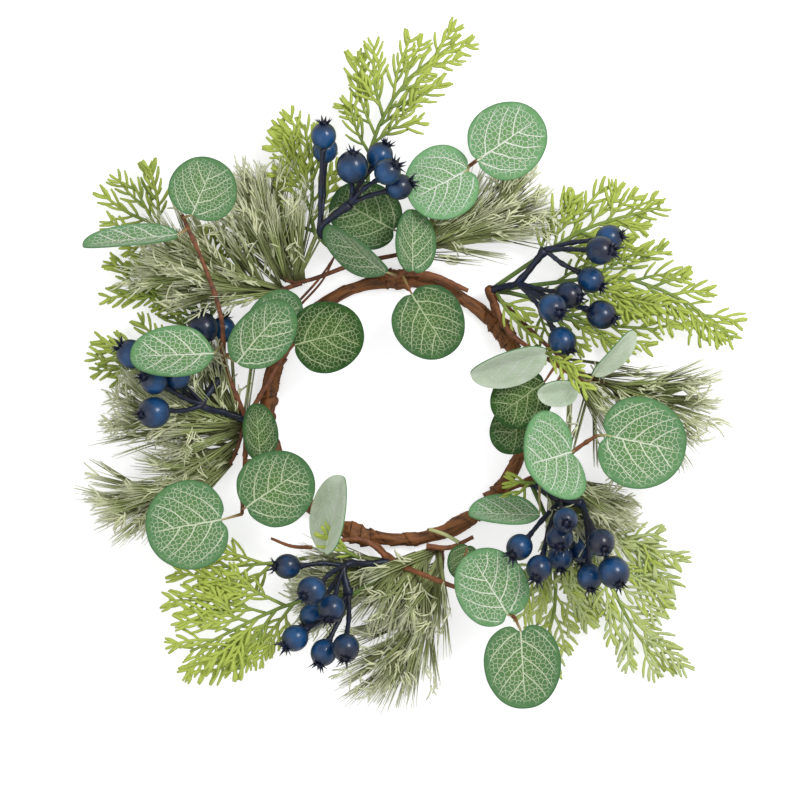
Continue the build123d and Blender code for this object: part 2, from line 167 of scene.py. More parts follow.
# Each finish: scales of its patches and of its grain, least and greatest roughness,
# depth in metres and strength of its relief
FINISHES = {
    "brown_paper_tape": (260.0, 2200.0, 0.48, 0.72, 0.0004, 0.7),
    "navy_berry_coat": (150.0, 1800.0, 0.26, 0.42, 0.00025, 0.35),
    "dark_stalk_coat": (400.0, 2600.0, 0.26, 0.46, 0.0004, 0.6),
    "rust_brown_twig": (420.0, 2400.0, 0.45, 0.72, 0.0005, 0.7),
    "pale_petiole": (500.0, 2600.0, 0.5, 0.7, 0.0003, 0.5),
    "printed_leaf_face": (170.0, 3200.0, 0.48, 0.66, 0.00025, 0.8),
    "pale_leaf_back": (170.0, 3200.0, 0.48, 0.66, 0.00025, 0.8),
    "frosted_needles": (300.0, 2400.0, 0.5, 0.75, 0.0003, 0.5),
    "frost_threads": (600.0, 2600.0, 0.7, 0.9, 0.0003, 0.6),
    "yellow_green_cedar": (240.0, 2200.0, 0.5, 0.7, 0.0003, 0.5),
    "hoop_wire": (300.0, 2800.0, 0.3, 0.5, 0.0, 0.0),
}
GLOSSY_COAT = {"Coat Weight": 0.45, "Coat Roughness": 0.09, "Specular IOR Level": 0.42}
DULL_CLOTH = {"Sheen Weight": 0.04, "Specular IOR Level": 0.25}

# Places are shares of the ring radius from the middle of the opening, as in the solids
KNOB_SHARES = {
    "top": (-0.29, 1.14, 0.17),
    "right": (0.71, 0.92, 0.17),
    "lower_right": (1.02, -0.55, 0.17),
    "bottom": (-0.05, -1.17, 0.17),
    "left": (-1.17, -0.08, 0.17),
}

FORK_SHARES = {
    "top": ((-0.60, 1.38, 0.46), (-0.37, 1.58, 0.56)),
    "right": ((0.92, 0.98, 0.34), (1.13, 1.23, 0.44)),
    "lower_right": ((1.25, -0.70, 0.30), (1.42, -0.72, 0.38)),
    "bottom": ((-0.41, -1.20, 0.36), (-0.38, -1.42, 0.40)),
    "left": ((-1.50, 0.04, 0.34), (-1.38, 0.24, 0.28)),
}

# Each berry: place, share of the berry radius, number of its fork
BERRY_SHARES = {
    "top": (
        (-0.57, 2.10, 0.65, 0.92, 0),
        (-0.56, 2.00, 0.42, 0.92, 0),
        (-0.35, 1.86, 0.70, 1.15, 1),
        (-0.14, 1.95, 0.58, 0.95, 1),
        (-0.08, 1.82, 0.82, 0.95, 1),
        (0.01, 1.71, 0.63, 0.95, 1),
    ),
    "right": (
        (1.62, 1.32, 0.60, 0.95, 1),
        (1.55, 1.22, 0.79, 1.05, 1),
        (1.48, 1.00, 0.50, 0.95, 1),
        (1.31, 0.88, 0.62, 1.00, 0),
        (1.18, 0.78, 0.79, 1.05, 0),
        (1.56, 0.73, 0.62, 1.05, 0),
        (1.26, 0.53, 0.55, 1.00, 0),
    ),
    "lower_right": (
        (0.93, -1.05, 0.66, 0.95, 0),
        (1.28, -0.84, 0.82, 0.92, 0),
        (1.24, -0.98, 0.66, 1.00, 0),
        (1.25, -1.13, 0.44, 0.95, 0),
        (1.08, -1.21, 0.72, 0.95, 0),
        (1.55, -1.01, 0.86, 1.00, 1),
        (1.42, -1.08, 0.36, 0.92, 1),
        (1.47, -1.28, 0.58, 0.95, 1),
        (1.65, -1.24, 0.80, 1.15, 1),
    ),
    "bottom": (
        (-0.85, -1.20, 0.50, 0.92, 0),
        (-0.66, -1.38, 0.72, 1.05, 0),
        (-0.51, -1.52, 0.60, 1.00, 0),
        (-0.66, -1.58, 0.40, 0.92, 0),
        (-0.79, -1.75, 0.55, 0.95, 1),
        (-0.57, -1.86, 0.55, 0.95, 1),
        (-0.40, -1.82, 0.72, 1.00, 1),
    ),
    "left": (
        (-2.05, 0.43, 0.42, 1.05, 0),
        (-1.87, -0.02, 0.62, 1.15, 0),
        (-1.70, 0.26, 0.50, 1.00, 0),
        (-1.87, 0.22, 0.64, 0.95, 0),
        (-1.50, 0.63, 0.34, 1.10, 1),
        (-1.35, 0.62, 0.16, 0.92, 1),
    ),
}

TWIG_SHARES = {
    "top": (
        ((0.02, 1.04, 0.36), (0.18, 1.45, 0.36), (0.46, 1.80, 0.40), (0.62, 1.93, 0.42)),
    ),
    "right": (
        ((0.86, 0.60, 0.36), (1.20, 0.36, 0.40), (1.45, 0.20, 0.44)),
    ),
    "lower_right": (
        ((1.22, -0.42, 0.34), (1.40, -0.28, 0.40), (1.52, -0.20, 0.44)),
    ),
    "bottom": (
        ((0.38, -1.34, 0.36), (0.72, -1.46, 0.38), (0.90, -1.60, 0.40)),
        ((-0.27, -1.00, 0.26), (-0.54, -1.02, 0.32)),
    ),
    "left": (
        ((-1.33, 0.35, 0.36), (-1.36, 0.72, 0.44), (-1.50, 1.14, 0.46), (-1.66, 1.50, 0.50)),
        ((-1.18, -0.45, 0.30), (-1.20, -0.80, 0.34)),
        ((-1.00, 0.22, 0.28), (-0.88, 0.42, 0.34)),
    ),
}

# Each leaf: number of its twig, place of its root, heading, pitch and roll in degrees, share of
# the leaf length, share of its width, lightness, whether its back shows, depth of its notch
# The lightness is partly each leaf's own green and partly painted light and shade: paler for leaves
# tipped to the light, darker for leaves in shade
LEAF_SHARES = {
    "top": (
        (0, (-0.02, 1.38, 0.32), 152, 0, 2, 0.84, 0.92, 0.15, False, 0.5),
        (0, (-0.09, 1.05, 0.54), 143, 4, -66, 0.90, 0.92, 0.55, False, 0.1),
        (0, (0.11, 1.06, 0.50), 90, -6, 44, 0.74, 0.88, 0.45, False, 0.4),
        (0, (0.55, 1.85, 0.47), 208, 3, 6, 0.80, 1.10, 1.00, False, 0.65),
        (0, (0.60, 1.91, 0.58), 34, 6, 4, 0.92, 0.98, 0.86, False, 0.3),
        (0, (0.10, 0.90, 0.44), -58, 6, 4, 0.86, 0.98, 0.16, False, 0.35),
    ),
    "right": (
        (0, (1.13, 0.44, 0.76), 196, 4, -62, 0.92, 0.92, 0.80, True, 0.3),
        (0, (1.13, 0.22, 0.41), 216, 0, 0, 0.72, 0.96, 0.02, False, 0.3),
        (0, (1.12, 0.04, 0.29), 222, 0, 18, 0.76, 0.84, 0.05, False, 0.3),
        (0, (1.50, 0.26, 0.52), 49, 12, 70, 0.72, 0.92, 0.80, True, 0.2),
        (0, (1.38, 0.16, 0.62), 186, 0, -46, 0.48, 0.92, 0.70, True, 0.2),
    ),
    "lower_right": (
        (0, (1.34, -0.32, 0.46), 196, 53, 6, 0.98, 1.12, 1.00, False, 0.6),
        (0, (1.58, -0.19, 0.52), -12, 6, 4, 0.98, 1.10, 0.58, False, 0.65),
        (0, (1.09, -0.81, 0.46), 178, 0, 62, 0.84, 0.86, 0.92, False, 0.0),
    ),
    "bottom": (
        (0, (0.54, -1.04, 0.34), 255, 4, 20, 0.42, 0.92, 0.15, False, 0.3),
        (0, (0.85, -1.58, 0.54), 122, 6, 4, 0.88, 0.96, 0.72, False, 0.65),
        (0, (0.94, -1.68, 0.46), -86, 4, 4, 0.94, 0.96, 0.42, False, 0.7),
        (1, (-0.56, -1.10, 0.48), 77, 6, -62, 0.94, 0.92, 1.00, True, 0.2),
    ),
    "left": (
        (0, (-1.58, 1.49, 0.62), 67, 6, 6, 0.72, 1.12, 0.48, False, 0.4),
        (0, (-1.69, 1.34, 0.60), 186, 2, 68, 1.12, 0.62, 0.75, False, 0.2),
        (0, (-1.41, 0.43, 0.66), 182, 2, 40, 0.98, 0.80, 0.76, False, 0.0),
        (0, (-1.24, 0.36, 0.58), 50, 8, 34, 0.94, 0.84, 0.50, False, 0.12),
        (0, (-1.08, 0.46, 0.33), 58, 2, -14, 0.80, 0.80, 0.40, False, 0.3),
        (1, (-1.34, -0.84, 0.46), 190, 4, 4, 0.92, 1.14, 0.50, False, 0.6),
        (1, (-1.17, -0.75, 0.50), 34, 6, 8, 0.90, 1.00, 0.34, False, 0.3),
        (1, (-1.06, -0.38, 0.36), 95, 0, 40, 0.66, 0.80, 0.10, False, 0.3),
        (2, (-0.80, 0.50, 0.48), 14, 4, 4, 0.84, 1.00, 0.04, False, 0.3),
    ),
}

# Half outline of a leaf in shares of its length along and of half its width across
LEAF_OUTLINE_SHARES = (
    (0.05, 0.0),
    (-0.06, 0.24),
    (-0.05, 0.54),
    (0.09, 0.84),
    (0.34, 1.0),
    (0.62, 0.95),
    (0.85, 0.70),
    (0.97, 0.36),
    (1.0, 0.0),
)
# The same outline where a leaf runs to a point at its root
POINTED_OUTLINE_SHARES = (
    (0.0, 0.0),
    (0.02, 0.22),
    (0.09, 0.54),
    (0.21, 0.84),
    (0.42, 1.0),
    (0.66, 0.93),
    (0.86, 0.68),
    (0.97, 0.35),
    (1.0, 0.0),
)
LEAF_FOLD_ANGLE = 12
PETIOLE_END_SHARE = 0.16

# Pine twigs after the knob; the last run of each carries the needles
PINE_SHARES = {
    "top": (
        ((-0.86, 1.00, 0.14), (-1.00, 1.48, 0.14)),
        ((-0.74, 0.98, 0.15), (-0.98, 0.92, 0.15), (-1.62, 1.10, 0.16)),
        ((0.24, 1.26, 0.14), (0.78, 1.50, 0.16)),
    ),
    "right": (
        ((1.40, 0.30, 0.14), (2.06, 0.04, 0.18)),
    ),
    "lower_right": (
        ((1.26, -0.50, 0.12), (1.48, -0.68, 0.12)),
    ),
    "bottom": (
        ((0.34, -1.10, 0.11), (0.12, -1.84, 0.13)),
        ((-0.12, -1.32, 0.10), (-0.42, -1.38, 0.10)),
    ),
    "left": (
        ((-1.40, -0.18, 0.13), (-1.82, -0.06, 0.14)),
        ((-1.34, -0.46, 0.12), (-1.94, -0.74, 0.12)),
    ),
}

# Cedar sprigs after the knob; fronds grow from the given run on
CEDAR_SHARES = {
    "top": (
        (2, ((-0.22, 1.50, 0.22), (-0.22, 1.98, 0.30), (0.04, 2.50, 0.38), (0.44, 2.82, 0.42))),
        (1, ((-0.64, 1.36, 0.18), (-0.66, 1.78, 0.22), (-0.72, 2.20, 0.24))),
    ),
    "right": (
        (1, ((1.06, 1.16, 0.24), (1.46, 1.40, 0.26), (2.02, 1.56, 0.32))),
        (1, ((1.20, 0.98, 0.18), (1.72, 1.02, 0.20), (2.24, 0.82, 0.24), (2.58, 0.54, 0.28))),
        (1, ((0.98, 0.88, 0.12), (1.30, 0.70, 0.12), (2.00, 0.62, 0.12))),
    ),
    "lower_right": (
        (1, ((1.30, -0.80, 0.07), (1.56, -1.18, 0.08), (1.80, -1.66, 0.12), (2.06, -2.02, 0.16))),
        (1, ((1.18, -0.96, 0.07), (1.20, -1.60, 0.10), (1.00, -2.02, 0.14))),
    ),
    "bottom": (
        (2, ((-0.30, -1.40, 0.30), (-0.80, -1.48, 0.36), (-1.60, -1.86, 0.38))),
        (2, ((-0.46, -1.12, 0.10), (-0.98, -1.18, 0.18), (-1.50, -1.22, 0.20))),
    ),
    "left": (
        (1, ((-1.44, 0.50, 0.09), (-1.60, 0.84, 0.07), (-2.16, 0.98, 0.10))),
        (1, ((-1.50, 0.14, 0.10), (-1.84, 0.34, 0.08), (-2.34, 0.40, 0.12))),
        (
            4,
            (
                (-1.28, 0.02, 0.04),
                (-1.54, 0.40, 0.04),
                (-1.62, 1.00, 0.04),
                (-1.84, 1.36, 0.07),
                (-2.04, 1.74, 0.13),
            ),
        ),
    ),
}

# How far the bunches of each pine twig lean to its left and its right, in degrees,
# the share of its first run from which they grow, how dense they stand, and how far they
# reach past its end as a share of the needle length
BRUSH_SHARES = {
    "top": ((42, 46, 0.62, 1.15, 1.0), (42, 56, 0.55, 1.2, 1.0), (52, 44, 0.62, 1.0, 1.0)),
    "right": ((56, 92, 0.80, 0.9, 1.0),),
    "lower_right": ((30, 56, 0.30, 0.9, 1.0),),
    "bottom": ((28, 66, 0.05, 1.45, 1.24), (34, 34, 0.05, 1.0, 1.0)),
    "left": ((36, 86, 0.0, 1.5, 1.0), (32, 58, 0.0, 1.2, 1.0)),
}

# How far the fronds of each sprig reach to its left and its right, as shares of the frond length
FAN_SHARES = {
    "top": ((1.45, 1.4), (1.8, 1.1)),
    "right": ((1.3, 1.3), (1.3, 1.6), (1.2, 1.5)),
    "lower_right": ((2.2, 1.4), (1.5, 1.3)),
    "bottom": ((1.8, 2.3), (1.4, 1.5)),
    "left": ((1.8, 1.7), (1.3, 1.4), (1.6, 1.3)),
}

# Paleness of the cedar of each pick: below nothing it turns to olive, at one it is bleached
PALENESS = {
    "top": -0.2,
    "right": -0.2,
    "lower_right": 1.0,
    "bottom": 0.0,
    "left": -0.9,
}

# Small loose tufts of cedar that stand between the leaves
TUFT_SHARES = (
    ((1.06, 0.50, 0.30), (1.24, 0.36, 0.66), (1.44, 0.16, 0.74)),
    ((0.76, 0.90, 0.24), (0.86, 0.74, 0.34), (1.04, 0.56, 0.36)),
    ((-0.30, -1.14, 0.30), (-0.44, -1.06, 0.42), (-0.56, -0.96, 0.50)),
    ((1.06, -0.56, 0.24), (0.98, -0.56, 0.26), (0.88, -0.55, 0.26)),
)

# Loose twig ends: share of the twig radius, tone from grey to rust, places
LOOSE_TWIG_SHARES = (
    (0.55, 0.1, ((-0.80, 0.80, 0.20), (-0.60, 1.02, 0.26), (-0.45, 1.24, 0.30))),
    (0.50, 0.0, ((-0.76, 0.80, 0.22), (-0.58, 1.00, 0.29), (-0.47, 1.22, 0.34))),
    (0.80, 0.9, ((-0.66, -1.06, 0.20), (-0.82, -1.05, 0.20), (-0.98, -0.99, 0.18))),
    (1.30, 0.8, ((0.00, 1.06, 0.17), (0.26, 1.04, 0.20), (0.54, 0.92, 0.17))),
    (1.10, 0.7, ((0.22, -1.05, 0.16), (0.40, -1.06, 0.18), (0.58, -0.98, 0.15))),
)
STUB_SHARES = ((0.24, -0.92, 0.16), (0.36, -0.96, 0.19), (0.47, -1.02, 0.19))

# Thicker collars of tape on the ring: angle and half width in degrees, height in tape radii
COLLAR_SHARES = (
    (170, 2.0, 0.22),
    (176, 2.2, 0.30),
    (183, 1.8, 0.18),
    (276, 3.0, 0.16),
    (297, 5.0, 0.24),
    (303, 2.4, 0.20),
)

# How a stem lies on the ring, as in the solids: the ring has 40 faces, and two carry a binding
RING_FACES = 40
STEM_LEAD_ANGLE = 27
STEM_BOUND_FACES = 2
STEM_SIDE_ANGLE = 45

# Steps along and round the wound tape; how far it wanders, swells and lies in, in metres; and the
# radius of the bare tube that it is wound from
TAPE_STEPS = 900
BINDING_STEPS = 110
TAPE_SIDES = 30
TAPE_SWAY = 0.0007
TAPE_SWELL = 0.00045
TAPE_INSET = 0.0002
BINDING_INSET = 0.0004
BARE_TUBE_RADIUS = 0.001

# Heights in metres below which nothing of a kind reaches down
TAPE_FLOOR = 0.00002
NEEDLE_FLOOR = 0.0005
CEDAR_FLOOR = 0.0008

# Gap between tape and stem, the stem's end past its knob, and bows of stalks and petioles in metres
STEM_GAP = 0.0001
STEM_END = 0.0022
TRUNK_SAG = 0.001
STALK_SAG = 0.0012
PETIOLE_BOW = 0.0006

# A bunch of needles: its rise in degrees (least, most, likeliest), how far its feet scatter along and
# across the twig in metres, how many needles it has, and their lengths as shares of its own
BUNCH_RISE = (-7, 38, 6)
FOOT_SCATTER = (0.001, 0.0007)
NEEDLE_COUNT = (6, 10)
NEEDLE_REACH = (0.88, 1.03)

# A tuft of frost: its height over the needles, how far its threads scatter along and across and how
# long they are in metres, how many they are, and their lean and its spread in degrees
TUFT_HEIGHT = (0.0008, 0.0042)
THREAD_SCATTER = (0.0025, 0.0015)
THREAD_LENGTH = (0.003, 0.009)
THREAD_COUNT = (2, 5)
TUFT_LEAN = 55
THREAD_LEAN = 28

# A shoot of cedar: its length as a share of what its place allows, its lean in degrees and its rise
SHOOT_REACH = (0.66, 1.22)
SHOOT_LEAN = (17, 42)
SHOOT_RISE = (-0.09, 0.13)

# Printed net of a leaf, in shares of its length: how far the veins sway, how the side veins arch,
# lean and spread, how many there are and how the two sides are staggered, and the small cells
VEIN_SWAY = 0.05
VEIN_ARCH = 5.0
VEIN_LEAN = 0.50
VEIN_SPREAD = 0.60
VEIN_PAIRS = 4.8
VEIN_STAGGER = 0.42
VEIN_SPACING = 5.6
NET_SCALE = 17.0

# Shoots that close the tip of a cedar sprig: share of the sprig's length and hand of each, and
# their length as a share of the frond length
TIP_SHOOTS = ((0.90, -1), (0.94, 1), (0.98, -1))
TIP_SHOOT_SHARE = 0.40

# Width of the film in millimetres, and in metres the place that the camera looks down on
FILM_WIDTH = 36
SIGHT = (0.0008, 0.004, 0.018)

# Numbers that the random draws of each kind start from
BERRY_SEED = 41
LEAF_SEED = 13
PINE_SEED = 100
CEDAR_SEED = 500
TUFT_SEED = 900

Leaf = namedtuple("Leaf", "twig root heading pitch roll size width lightness back_shows notch")


def settings():
    return bpy.context.scene.candle_ring


def place(shares):
    """Point of the model for a place in shares of the ring radius."""
    return Vector(shares) * settings().ring.ring_radius


def mixed(low, high, share):
    return low + (high - low) * share


def eased(share):
    share = min(max(share, 0.0), 1.0)
    return share * share * (3 - 2 * share)


def bumped(share, middle, half_width):
    """Round bump that is one in the middle and nothing past its half width."""
    return max(0.0, 1 - ((share - middle) / half_width) ** 2)


def tapered(foot, fall):
    """Thickness along a strand that falls evenly from its foot to its tip."""
    return lambda share: foot - fall * share


def curve_point(start, end, leave, arrive, t):
    """Point of the smooth curve between two points that leaves and arrives in given directions."""
    point = start * (2 * t**3 - 3 * t**2 + 1) + leave * (t**3 - 2 * t**2 + t)
    return point + (end * (3 * t**2 - 2 * t**3) + arrive * (t**3 - t**2))


class Route:
    """Smooth line through points, asked for by share of its length."""

    def __init__(self, points):
        self.points = [Vector(point) for point in points]
        self.marks = [0.0]
        for before, after in zip(self.points, self.points[1:]):
            self.marks.append(self.marks[-1] + (after - before).length)
        self.length = self.marks[-1]

    def slope(self, number):
        first, last = max(number - 1, 0), min(number + 1, len(self.points) - 1)
        return (self.points[last] - self.points[first]) / (self.marks[last] - self.marks[first])

    def at(self, share):
        """Point and direction at a share of the length."""
        reach = min(max(share, 0.0), 1.0) * self.length
        number = 0
        while number < len(self.points) - 2 and self.marks[number + 1] < reach:
            number += 1
        run = self.marks[number + 1] - self.marks[number]
        t = (reach - self.marks[number]) / run
        start, end = self.points[number], self.points[number + 1]
        leave, arrive = self.slope(number) * run, self.slope(number + 1) * run
        heading = start * (6 * t**2 - 6 * t) + leave * (3 * t**2 - 4 * t + 1)
        heading += end * (6 * t - 6 * t**2) + arrive * (3 * t**2 - 2 * t)
        return curve_point(start, end, leave, arrive, t), heading.normalized()

    def nearest(self, target, steps=60):
        points = [self.at(step / steps)[0] for step in range(steps + 1)]
        return min(points, key=lambda point: (point - target).length)


def route_of(places):
    return Route([place(shares) for shares in places])


def mesh_from(bm, name):
    """Mesh made from a bmesh, which is freed."""
    mesh = bpy.data.meshes.new(name)
    bm.to_mesh(mesh)
    bm.free()
    return mesh


def spin_round(bm, sweep, steps, whole):
    """Spins all there is round the vertical through the origin; a whole turn is joined up."""
    centre = {"cent": (0, 0, 0), "axis": (0, 0, 1), "dvec": (0, 0, 0)}
    geom = list(bm.verts) + list(bm.edges)
    options = {"use_merge": whole, "use_duplicate": False}
    bmesh.ops.spin(bm, geom=geom, angle=sweep, steps=steps, **centre, **options)


def strand_shape(name, sides, radii):
    """Upright strand one unit long, grown ring by ring from a circle."""
    bm = bmesh.new()
    bmesh.ops.create_circle(bm, cap_ends=True, segments=sides, radius=1)
    ring, rim = list(bm.verts), list(bm.edges)
    bmesh.ops.scale(bm, vec=(radii[0], radii[0], 1), verts=ring)
    rise = 1 / (len(radii) - 1)
    for before, after in zip(radii, radii[1:]):
        grown = bmesh.ops.extrude_edge_only(bm, edges=rim)["geom"]
        ring = [item for item in grown if isinstance(item, bmesh.types.BMVert)]
        edges = [item for item in grown if isinstance(item, bmesh.types.BMEdge)]
        rim = [edge for edge in edges if all(vert in ring for vert in edge.verts)]
        bmesh.ops.scale(bm, vec=(after / before, after / before, 1), verts=ring)
        bmesh.ops.translate(bm, vec=(0, 0, rise), verts=ring)
    bmesh.ops.contextual_create(bm, geom=rim)
    bmesh.ops.recalc_face_normals(bm, faces=bm.faces)
    return mesh_from(bm, name)


class Growth:
    """Mesh of one piece that shapes are laid into.

    Each vertex keeps how far along its shape it lies and the tone of the shape, for the finishes.
    """

    def __init__(self):
        self.bm = bmesh.new()
        self.along = self.bm.verts.layers.float.new("along")
        self.tone = self.bm.verts.layers.float.new("tone")

    def copy_in(self, shape, finish=0):
        verts, faces = len(self.bm.verts), len(self.bm.faces)
        self.bm.from_mesh(shape)
        self.bm.verts.ensure_lookup_table()
        self.bm.faces.ensure_lookup_table()
        for face in self.bm.faces[faces:]:
            face.material_index = finish
            face.smooth = True
        return self.bm.verts[verts:]

    def strand(self, shape, route, width, tone, flatness=1.0, along=(0.0, 1.0), finish=0, swell=None):
        """Lays a strand along a route; swell gives its thickness at a share of the length."""
        stations = {}
        for vert in self.copy_in(shape, finish):
            share = round(vert.co.z, 4)
            if share not in stations:
                point, heading = route.at(share)
                side = heading.cross(UP).normalized()
                if side.length < 0.5:
                    side = Vector((1, 0, 0))
                here = width * (swell(share) if swell else 1)
                stations[share] = (point, side * here, side.cross(heading) * here * flatness)
            point, side, lift = stations[share]
            vert[self.along] = mixed(along[0], along[1], share)
            vert[self.tone] = tone
            vert.co = point + side * vert.co.x + lift * vert.co.y

    def finish(self, name, materials, nodes, slot):
        """Makes the object, in place of one of the same name, and sets it in the frame."""
        if name in bpy.data.objects:
            bpy.data.objects.remove(bpy.data.objects[name])
        mesh = mesh_from(self.bm, name)
        for material in materials:
            mesh.materials.append(material)
        piece = bpy.data.objects.new(name, mesh)
        bpy.context.scene.collection.objects.link(piece)
        bpy.context.view_layer.update()
        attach(piece, "root")
        if nodes:
            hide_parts(*nodes)
        return piece


def add_node(tree, kind, inputs=None, **options):
    """New shader node with its options and inputs; an input may be another node's output."""
    made = tree.nodes.new(kind)
    for key, value in options.items():
        setattr(made, key, value)
    for key, value in (inputs or {}).items():
        if isinstance(value, bpy.types.NodeSocket):
            tree.links.new(value, made.inputs[key])
        else:
            made.inputs[key].default_value = value
    return made


def maths(tree, operation, first, second=0.0, third=0.0):
    inputs = {0: first, 1: second, 2: third}
    return add_node(tree, "ShaderNodeMath", inputs, operation=operation).outputs[0]


def ranged(tree, value, low, high, to_low=0.0, to_high=1.0):
    """Value mapped from one range to another, held at its ends."""
    inputs = {"Value": value, "From Min": low, "From Max": high, "To Min": to_low, "To Max": to_high}
    return add_node(tree, "ShaderNodeMapRange", inputs, interpolation_type="SMOOTHSTEP").outputs[0]


def blended(tree, share, first, second):
    """Colour between two colours."""
    made = add_node(tree, "ShaderNodeMix", data_type="RGBA")
    for socket, value in ((made.inputs[0], share), (made.inputs[6], first), (made.inputs[7], second)):
        if isinstance(value, bpy.types.NodeSocket):
            tree.links.new(value, socket)
        else:
            socket.default_value = value if isinstance(value, float) else (*value[:3], 1)
    return made.outputs[2]


def noise_of(tree, vector, scale, detail):
    inputs = {"Vector": vector, "Scale": scale, "Detail": detail}
    return add_node(tree, "ShaderNodeTexNoise", inputs).outputs[0]


def new_group(name, inputs, outputs):
    """Node group with its sockets, what comes in, and the sockets it gives out by."""
    group = bpy.data.node_groups.new(name, "ShaderNodeTree")
    for label, kind in inputs:
        group.interface.new_socket(label, in_out="INPUT", socket_type="NodeSocket" + kind)
    for label in outputs:
        group.interface.new_socket(label, in_out="OUTPUT", socket_type="NodeSocketFloat")
    entry, leave = group.nodes.new("NodeGroupInput"), group.nodes.new("NodeGroupOutput")
    return group, entry.outputs, leave.inputs


def grain_group():
    """Uneven colour, sheen and surface that every finish here uses in its own measure."""
    group = bpy.data.node_groups.get("surface_grain")
    if group:
        return group
    sockets = (("Vector", "Vector"), ("Patch Scale", "Float"), ("Grain Scale", "Float"))
    group, entry, leave = new_group("surface_grain", sockets, ("Patches", "Grain", "Height"))
    patches = noise_of(group, entry[0], entry[1], 3.0)
    grain = noise_of(group, entry[0], entry[2], 4.0)
    height = maths(group, "MULTIPLY_ADD", patches, 0.6, maths(group, "MULTIPLY", grain, 0.4))
    for socket, value in zip(leave, (patches, grain, height)):
        group.links.new(value, socket)
    return group


def vein_group():
    """Printed net of a leaf: midrib, side veins and small cells that fade before the rim."""
    group = bpy.data.node_groups.get("vein_net")
    if group:
        return group
    sockets = (("Leaf Place", "Vector"), ("Rim", "Float"), ("Tone", "Float"))
    group, entry, leave = new_group("vein_net", sockets, ("Veins", "Printed"))
    spot, rim, tone = entry[0], entry[1], entry[2]

    # The leaf's own patch of each noise, and the sway of its veins
    shift = {0: maths(group, "MULTIPLY", tone, 37.0), 1: maths(group, "MULTIPLY", tone, 91.0)}
    shift = add_node(group, "ShaderNodeCombineXYZ", shift).outputs[0]
    own = add_node(group, "ShaderNodeVectorMath", {0: spot, 1: shift}, operation="ADD").outputs[0]
    bent = maths(group, "MULTIPLY_ADD", noise_of(group, own, 5.0, 2.0), VEIN_SWAY, -VEIN_SWAY / 2)
    apart = add_node(group, "ShaderNodeSeparateXYZ", {0: spot})
    along = maths(group, "ADD", apart.outputs[0], bent)
    across = maths(group, "ADD", apart.outputs[1], maths(group, "MULTIPLY", bent, 0.5))
    away = maths(group, "ABSOLUTE", across)

    # Side veins that arch from the midrib towards the tip, by turns left and right
    curve = maths(group, "MULTIPLY_ADD", maths(group, "POWER", away, 3.0), VEIN_ARCH, away)
    origin = maths(group, "MULTIPLY_ADD", curve, -VEIN_LEAN, along)
    origin = maths(group, "DIVIDE", origin, maths(group, "MULTIPLY_ADD", curve, VEIN_SPREAD, 1.0))
    handed = maths(group, "MULTIPLY", maths(group, "GREATER_THAN", across, 0.0), VEIN_STAGGER)
    order = maths(group, "ADD", maths(group, "MULTIPLY_ADD", origin, VEIN_PAIRS, -0.1), handed)
    gap = maths(group, "DIVIDE", maths(group, "PINGPONG", order, 0.5), VEIN_SPACING)
    width = maths(group, "MULTIPLY_ADD", away, -0.009, 0.0052)
    side = ranged(group, maths(group, "SUBTRACT", gap, width), 0.0, 0.008, 1.0, 0.0)
    side = maths(group, "MULTIPLY", side, ranged(group, origin, 0.68, 0.78, 1.0, 0.0))

    # Midrib, thinner towards the tip
    spine = maths(group, "SUBTRACT", away, maths(group, "MULTIPLY_ADD", along, -0.008, 0.0085))
    spine = ranged(group, spine, 0.0, 0.007, 1.0, 0.0)
    spine = maths(group, "MULTIPLY", spine, ranged(group, along, 0.80, 0.92, 1.0, 0.0))

    # Net of small cells, and a ragged edge where the print ends
    cells = {"Vector": own, "Scale": NET_SCALE, "Randomness": 0.9}
    options = {"feature": "DISTANCE_TO_EDGE", "voronoi_dimensions": "2D"}
    cells = add_node(group, "ShaderNodeTexVoronoi", cells, **options).outputs["Distance"]
    net = ranged(group, cells, 0.02, 0.105, 1.0, 0.0)
    edge = maths(group, "MULTIPLY_ADD", noise_of(group, own, 9.0, 1.0), 0.30, rim)
    net = maths(group, "MULTIPLY", net, ranged(group, edge, 0.93, 1.13, 0.85, 0.0))
    side = maths(group, "MULTIPLY", side, ranged(group, edge, 0.96, 1.13, 1.0, 0.0))
    veins = maths(group, "MAXIMUM", maths(group, "MAXIMUM", side, spine), net)
    printed = ranged(group, edge, 0.82, 1.06, 1.0, 0.0)
    for socket, value in zip(leave, (veins, printed)):
        group.links.new(value, socket)
    return group


def attribute(tree, name):
    made = add_node(tree, "ShaderNodeAttribute", attribute_name=name, attribute_type="GEOMETRY")
    return made.outputs["Fac"]


def make_material(name, paint, extras=None):
    """Material of a row of FINISHES; paint gives its colour and the height of its relief."""
    patch_scale, grain_scale, smoothest, roughest, depth, strength = FINISHES[name]
    material = bpy.data.materials.get(name) or bpy.data.materials.new(name)
    material.use_nodes = True
    tree = material.node_tree
    tree.nodes.clear()
    shader = tree.nodes.new("ShaderNodeBsdfPrincipled")
    tree.links.new(shader.outputs[0], tree.nodes.new("ShaderNodeOutputMaterial").inputs[0])
    spot = tree.nodes.new("ShaderNodeTexCoord").outputs["Object"]
    scales = {0: spot, 1: patch_scale, 2: grain_scale}
    patches, grain, height = add_node(tree, "ShaderNodeGroup", scales, node_tree=grain_group()).outputs
    colour, relief = paint(tree, patches, grain, height)
    tree.links.new(colour, shader.inputs["Base Color"])
    roughness = ranged(tree, grain, 0.3, 0.7, smoothest, roughest)
    tree.links.new(roughness, shader.inputs["Roughness"])
    if strength:
        inputs = {"Height": relief, "Distance": depth, "Strength": strength}
        tree.links.new(add_node(tree, "ShaderNodeBump", inputs).outputs[0], shader.inputs["Normal"])
    for key, value in (extras or {}).items():
        shader.inputs[key].default_value = value
    return material


